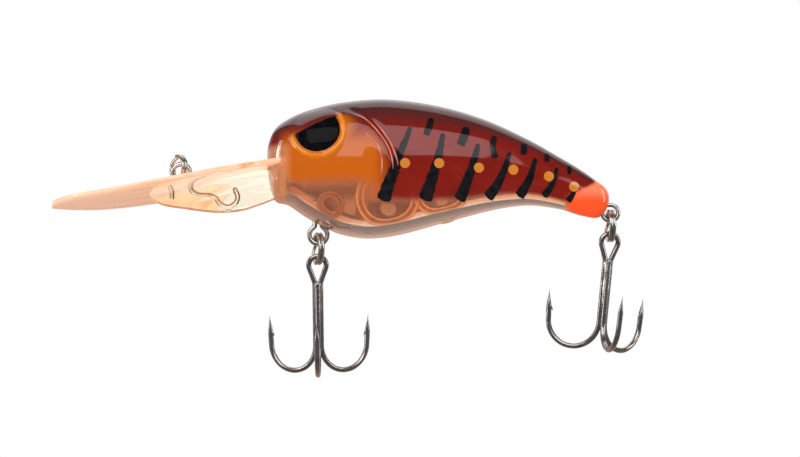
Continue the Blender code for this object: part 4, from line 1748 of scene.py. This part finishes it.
@dataclass(frozen=True)
class Treble:
    """Three hooks: one wire bent into two of them and an eye, and a third brazed to its shank."""

    name: str
    place: Matrix
    wire: float = 0.47
    ring_wire: float = 0.275
    shank_gap: float = 0.05
    eye_radius: float = 1.53
    eye_play: float = 0.5
    exit_angle: float = 20.0
    length: float = 21.1
    bend_radius: float = 4.55
    point_height: float = 9.8
    flare: float = 0.3
    taper: float = 2.6
    tip_scale: float = 0.10
    azimuths: tuple[float, ...] = (-120.0, 120.0, 0.0)
    barb_below_tip: float = 3.3

    def frames(self) -> list[tuple[Vector, Vector]]:
        """Shank place and outward direction of each hook.

        Returns:
            One pair to a hook.
        """
        spread = (2 * self.wire + self.shank_gap) / math.sqrt(3)
        directions = []
        for azimuth in self.azimuths:
            angle = math.radians(azimuth)
            directions.append(Vector((math.sin(angle), -math.cos(angle), 0)))
        level = (directions[0] * spread).y
        return [(direction * spread - Vector((0, level, 0)), direction) for direction in directions]

    def half(self, shank: Vector, direction: Vector) -> tuple[list[Vector], list[float]]:
        """One hook from its bend's start to its point, with the radius at each place.

        Args:
            shank: Place of the shank.
            direction: Outward direction of the hook.

        Returns:
            The points and the radii.
        """
        bottom = self.eye_play + self.ring_wire + 2 * self.wire - self.length
        centre = bottom + self.wire + self.bend_radius
        bend = arc((self.bend_radius, centre), self.bend_radius, 180, 360, 28)
        profile = [(spot.x, spot.z) for spot in bend]
        tip = (2 * self.bend_radius + self.flare, bottom + self.point_height)
        foot = profile[-1]
        run = math.dist(foot, tip)
        radii = [self.wire] * len(profile)
        shoulder = 1 - self.taper / run
        for step in range(1, 17):
            share = step / 16
            profile.append((blend(foot[0], tip[0], share), blend(foot[1], tip[1], share)))
            thin = ease(share, shoulder - 0.1, 1.06)
            radii.append(self.wire * max(self.tip_scale, 1 - thin))
        return [shank + direction * out + Vector((0, 0, height)) for out, height in profile], radii

    def barb(self, draft: Draft, shank: Vector, direction: Vector) -> None:
        """Adds the small spur raised inside a point.

        Args:
            draft: What it is added to.
            shank: Place of the shank.
            direction: Outward direction of the hook.
        """
        points, _ = self.half(shank, direction)
        tip, foot = points[-1], points[-17]
        run = (tip - foot).normalized()
        root = tip - run * self.barb_below_tip
        path = [root + run * 1.15 - direction * 0.16, root + run * 0.55 - direction * 0.34,
                root + run * 0.12 - direction * 0.56, root - run * 0.16 - direction * 0.74]
        draft.tube([self.place @ spot for spot in path], [0.12, 0.17, 0.13, 0.035], 10)

    def throat(self) -> tuple[list[Vector], float]:
        """Eye from one shank to the other, and the height at which its wires come together.

        Returns:
            The eye's points and that height.
        """
        eye_centre = self.ring_wire + self.eye_play + self.wire - self.eye_radius
        loop = arc((0, eye_centre), self.eye_radius, 180 + self.exit_angle, -self.exit_angle, 40)
        angle = math.radians(self.exit_angle)
        half_shank = abs(self.frames()[0][0].x)
        run = (self.eye_radius * math.cos(angle) - half_shank) / math.sin(angle)
        height = eye_centre - self.eye_radius * math.sin(angle) - run * math.cos(angle)
        left = smooth_path([Vector((-half_shank, 0, height - 1.1)), Vector((-half_shank, 0, height - 0.3)),
                            Vector((-half_shank - 0.08, 0, height + 0.25)), loop[0]], 5)[:-1]
        right = [Vector((-spot.x, 0, spot.z)) for spot in reversed(left)]
        return left + loop + right, height

    def build(self, finishes: Finishes) -> None:
        """Makes the three hooks and the braze that holds them.

        Args:
            finishes: The lure's finishes.
        """
        frames = self.frames()
        eye, height = self.throat()
        left, left_radii = self.half(*frames[0])
        right, right_radii = self.half(*frames[1])
        pair = Draft()
        path = left[::-1] + eye + right
        radii = left_radii[::-1] + [self.wire] * len(eye) + right_radii
        pair.tube([self.place @ spot for spot in path], radii, 16)
        for shank, direction in frames[:2]:
            self.barb(pair, shank, direction)
        fit(pair.make(f"{self.name}_hook_pair", finishes.hook, 60.0), f"{self.name}_treble", Slot.HOOK,
            f"{self.name}_double_hook")
        single = Draft()
        shank, direction = frames[2]
        points, single_radii = self.half(shank, direction)
        top = shank + Vector((0, 0, height - 0.2))
        single.tube([self.place @ spot for spot in (top, *points)], [self.wire, *single_radii], 16)
        self.barb(single, shank, direction)
        fit(single.make(f"{self.name}_third_hook", finishes.hook, 60.0), f"{self.name}_treble", Slot.HOOK,
            f"{self.name}_single_hook")
        self.build_braze(finishes, height)

    def build_braze(self, finishes: Finishes, height: float) -> None:
        """Makes the solder that fills the valleys between the shanks and stands up at their top.

        Args:
            finishes: The lure's finishes.
            height: Where the wires come together.
        """
        frames = self.frames()
        middle = sum((shank for shank, _ in frames), Vector()) / 3
        spread = (frames[2][0] - middle).length
        around = 36
        profile = ((0.35, 0.25), (0.15, 0.72), (-0.15, 1.02), (-0.55, 1.08), (-1.0, 0.98), (-1.7, 0.86),
                   (-3.2, 0.80), (-5.0, 0.78), (-7.0, 0.72), (-8.6, 0.5), (-9.2, 0.15))
        rows = []
        for rise, scale in profile:
            row = []
            for index in range(around):
                angle = 2 * math.pi * index / around
                lobes = 1 + 0.10 * math.cos(3 * (angle + math.pi / 2))
                lobes += 0.03 * math.sin(5 * angle + 3 * rise)
                radius = (spread + self.wire * 0.62) * scale * lobes
                row.append(self.place @ (middle + Vector((radius * math.cos(angle), radius * math.sin(angle),
                                                          height + rise))))
            rows.append(row)
        draft = Draft()
        draft.rows(rows, closed=True, capped=True)
        fit(draft.make(f"{self.name}_braze_joint", finishes.braze, 60.0), f"{self.name}_treble", Slot.HOOK)


@dataclass
class HookChain:
    """A hanger, the split ring on it and the treble on the ring."""

    hanger: Hanger
    finishes: Finishes
    yaw: float
    tilt: float
    swing: float
    turn: float
    ring_inner: float = 2.3
    ring_wire: float = 0.275
    play: float = 1.0

    def build(self) -> None:
        """Makes the chain from the body down."""
        name = self.hanger.name
        self.hanger.build(self.finishes)
        x, z = self.hanger.centre
        ring_place = (
            Matrix.Translation((x, 0, z - self.hanger.radius))
            @ Matrix.Rotation(math.radians(self.yaw), 4, "Z")
            @ Matrix.Rotation(math.radians(self.tilt), 4, "X")
        )
        drop = self.ring_inner - self.hanger.wire - self.play
        SplitRing(f"{name}_ring_coil", f"{name}_ring", f"{name}_split_ring", self.ring_inner, ring_place,
                  drop).build(self.finishes)
        hook_place = (
            ring_place
            @ Matrix.Translation((0, 0, -(drop + self.ring_inner + self.ring_wire)))
            @ Matrix.Rotation(math.radians(self.swing), 4, "Y")
            @ Matrix.Rotation(math.radians(self.turn), 4, "Z")
        )
        Treble(name, hook_place).build(self.finishes)


@dataclass
class Tackle:
    """Everything that hangs from the body and the lip."""

    lip: DivingLip
    finishes: Finishes
    tie_ring_inner: float = 2.0
    tie_ring_wire: float = 0.275
    tie_ring_play: float = 0.35
    tie_ring_yaw: float = 30.0
    tie_ring_floor_gap: float = 0.12

    def build_tie_ring(self) -> None:
        """Makes the split ring that leans over on the line tie."""
        lip = self.lip
        reach = self.tie_ring_inner - lip.tie_wire - self.tie_ring_play
        outer = self.tie_ring_inner + 2 * self.tie_ring_wire
        half_thickness = smooth_value(lip.thickness, lip.warp, 0.0) / 2
        top = smooth_value(lip.middle, lip.warp, 0.0) + half_thickness
        lean = math.asin((lip.tie_half_gap - (top + self.tie_ring_floor_gap + outer)) / reach)
        place = (
            Matrix.Translation((0, 0, lip.tie_half_gap))
            @ Matrix.Rotation(math.radians(self.tie_ring_yaw), 4, "Z")
            @ Matrix.Rotation(math.pi / 2 - lean, 4, "X")
        )
        SplitRing("line_tie_ring_coil", "line_tie_ring", "line_tie_split_ring", self.tie_ring_inner, place,
                  reach).build(self.finishes)

    def build(self) -> None:
        """Makes the line-tie ring and both hook chains."""
        self.build_tie_ring()
        belly = Hanger("belly", (24.0, -11.0), 1.55, 0.43, 4.6, 0.0)
        tail = Hanger("tail", (74.9, -7.1), 1.4, 0.4, 5.4, 50.0)
        HookChain(belly, self.finishes, yaw=14.0, tilt=12.0, swing=-3.7, turn=-14.0).build()
        HookChain(tail, self.finishes, yaw=8.0, tilt=8.0, swing=4.6, turn=7.0).build()


# ---------------------------------------------------------------------------------------------
# The studio
# ---------------------------------------------------------------------------------------------


@dataclass(frozen=True)
class Softbox:
    """One rectangular studio light aimed at the lure."""

    name: str
    azimuth: float
    elevation: float
    distance: float
    width: float
    height: float
    watts: float
    colour: Colour = (1.0, 1.0, 1.0)


@dataclass
class Studio:
    """Pale floor, softboxes, surroundings and camera."""

    floor_drop: float = 0.095
    frame_shift_x: float = 0.0089
    frame_shift_z: float = 0.00185
    view_width: float = 0.1395
    camera_elevation: float = -8.0
    camera_distance: float = 0.775
    sensor: float = 36.0
    floor_half_size: float = 1500.0
    floor_steps: int = 12
    paper: tuple[Colour, Colour] = ((0.86, 0.86, 0.86), (0.90, 0.90, 0.89))
    # Floor colours that only reflected rays see: painted reflections, warm behind the lure and dark in
    # front.
    painted_reflection_behind: Colour = (0.58, 0.35, 0.26)
    painted_reflection_in_front: Colour = (0.10, 0.10, 0.10)
    painted_reflection_depths: tuple[float, float] = (0.0, 0.2)
    mirror_strengths: tuple[float, float] = (0.12, 0.75)
    ambient_strengths: tuple[float, float] = (0.8, 0.55)
    lights: tuple[Softbox, ...] = (
        Softbox("front_softbox", -6.0, 32.0, 0.8, 0.95, 0.52, 3.4),
        Softbox("top_softbox", 180.0, 58.0, 0.8, 1.1, 0.8, 3.0),
        Softbox("left_strip", -78.0, 12.0, 0.7, 0.14, 0.5, 1.0),
        Softbox("right_strip", 74.0, 18.0, 0.7, 0.14, 0.5, 1.0),
    )

    def centre(self) -> Vector:
        """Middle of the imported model's box."""
        low, high = CAD_BOX
        return (Vector(low) + Vector(high)) / 2

    def build_world(self) -> None:
        """Sets white surroundings to the camera, and dimmer ones for light and reflections."""
        world = bpy.data.worlds.new("studio_world")
        world.use_nodes = True
        sheet = NodeSheet(world.node_tree)
        plain = world.node_tree.nodes["Background"]
        ray = sheet.add("ShaderNodeLightPath")
        direction = sheet.add("ShaderNodeTexCoord").outputs["Generated"]
        parts = sheet.add("ShaderNodeSeparateXYZ", Vector=direction).outputs
        low_behind = sheet.maths("SUBTRACT", parts["Y"], parts["Z"])
        mirrored = sheet.spread(low_behind, (0.1, 0.8), self.mirror_strengths)
        ambient = sheet.spread(parts["Z"], (-0.5, 0.9), self.ambient_strengths)
        glossy = sheet.mix_value(ray.outputs["Is Glossy Ray"], ambient, mirrored)
        inside = sheet.maths("GREATER_THAN", ray.outputs["Transmission Depth"], 0.5)
        seen = sheet.maths("MAXIMUM", ray.outputs["Is Camera Ray"], inside)
        strength = sheet.mix_value(seen, glossy, 1.0)
        plain.inputs["Color"].default_value = (1.0, 1.0, 1.0, 1.0)
        sheet.feed(plain.inputs["Strength"], strength)
        bpy.context.scene.world = world

    def build_floor(self) -> None:
        """Makes the pale floor, far enough down to stay below the camera; reflected rays see a painted
        reflection instead.
        """
        low, _ = CAD_BOX
        level = low[2] - self.floor_drop
        draft = Draft()
        half, steps = self.floor_half_size, self.floor_steps
        ticks = [blend(-half, half, step / steps) for step in range(steps + 1)]
        draft.rows([[Vector((x, y, level / MM)) for x in ticks] for y in ticks])
        material, sheet, shader = new_material("pale_floor")
        paper = sheet.noise(900.0, 4.0)
        pale = sheet.mix_colour(paper, *self.paper)
        # Painted reflection: to reflected rays the floor is warm behind the lure and dark in front of it.
        ray = sheet.add("ShaderNodeLightPath")
        mirrored = sheet.maths("SUBTRACT", ray.outputs["Is Glossy Ray"], ray.outputs["Transmission Depth"])
        place = sheet.add("ShaderNodeNewGeometry").outputs["Position"]
        depth = sheet.add("ShaderNodeSeparateXYZ", Vector=place).outputs["Y"]
        near = sheet.spread(depth, self.painted_reflection_depths, (1.0, 0.0))
        shade = sheet.mix_colour(near, self.painted_reflection_behind, self.painted_reflection_in_front)
        sheet.feed(shader.inputs["Base Color"], sheet.mix_colour(mirrored, pale, shade))
        sheet.feed(shader.inputs["Roughness"], sheet.mix_value(paper, 0.75, 0.9))
        floor = draft.make("studio_floor", material)

    def aim(self, azimuth: float, elevation: float, distance: float, target: Vector) -> Matrix:
        """Place from which something looks at a target.

        Args:
            azimuth: Turn about the vertical, in degrees; 0 looks along +Y.
            elevation: Height over the target, in degrees.
            distance: Distance from the target, in metres.
            target: What it looks at.

        Returns:
            The place, as a matrix.
        """
        turn, rise = math.radians(azimuth), math.radians(elevation)
        back = Vector((math.sin(turn) * math.cos(rise), -math.cos(turn) * math.cos(rise), math.sin(rise)))
        facing = back.to_track_quat("Z", "Y").to_matrix().to_4x4()
        return Matrix.Translation(target + back * distance) @ facing

    def build_lights(self) -> None:
        """Hangs the softboxes round the lure."""
        for softbox in self.lights:
            light = bpy.data.lights.new(softbox.name, "AREA")
            light.shape = "RECTANGLE"
            light.size, light.size_y = softbox.width, softbox.height
            light.energy = softbox.watts
            light.color = softbox.colour
            lamp = bpy.data.objects.new(softbox.name, light)
            lamp.matrix_world = self.aim(softbox.azimuth, softbox.elevation, softbox.distance, self.centre())
            lamp.visible_camera = False
            bpy.context.scene.collection.objects.link(lamp)

    def build_camera(self) -> None:
        """Sets the long-lens camera, slightly below the lure."""
        lens = bpy.data.cameras.new("studio_camera")
        lens.sensor_width = self.sensor
        lens.lens = self.sensor * self.camera_distance / self.view_width
        lens.clip_start, lens.clip_end = 0.01, 20.0
        camera = bpy.data.objects.new("studio_camera", lens)
        target = self.centre() + Vector((self.frame_shift_x, 0, self.frame_shift_z))
        target.y = 0.0
        camera.matrix_world = self.aim(0.0, self.camera_elevation, self.camera_distance, target)
        bpy.context.scene.collection.objects.link(camera)
        bpy.context.scene.camera = camera

    def build(self) -> None:
        """Sets up the studio."""
        self.build_world()
        self.build_floor()
        self.build_lights()
        self.build_camera()
        scene = bpy.context.scene
        scene.view_settings.view_transform = "Standard"
        scene.view_settings.look = "None"
        LOG.info("studio is ready")


def main() -> None:
    """Builds every piece in order, and then the studio."""
    logging.basicConfig(level=logging.INFO, format="%(message)s")
    finishes = Finishes()
    shells = BodyShells(BodyForm(), HeadRelief(), finishes)
    trim = HeadTrim(shells, finishes)
    eyes = Eyes(shells, finishes)
    markings = Markings(shells, finishes)
    rattles = Rattles(shells, finishes)
    for side in Side:
        shells.build(side)
        trim.build(side)
        eyes.build(side)
        markings.build(side)
        rattles.build(side)
    rattles.build_balls()
    lip = DivingLip(finishes)
    lip.build()
    Tackle(lip, finishes).build()
    Studio().build()


if __name__ == "__main__":
    main()
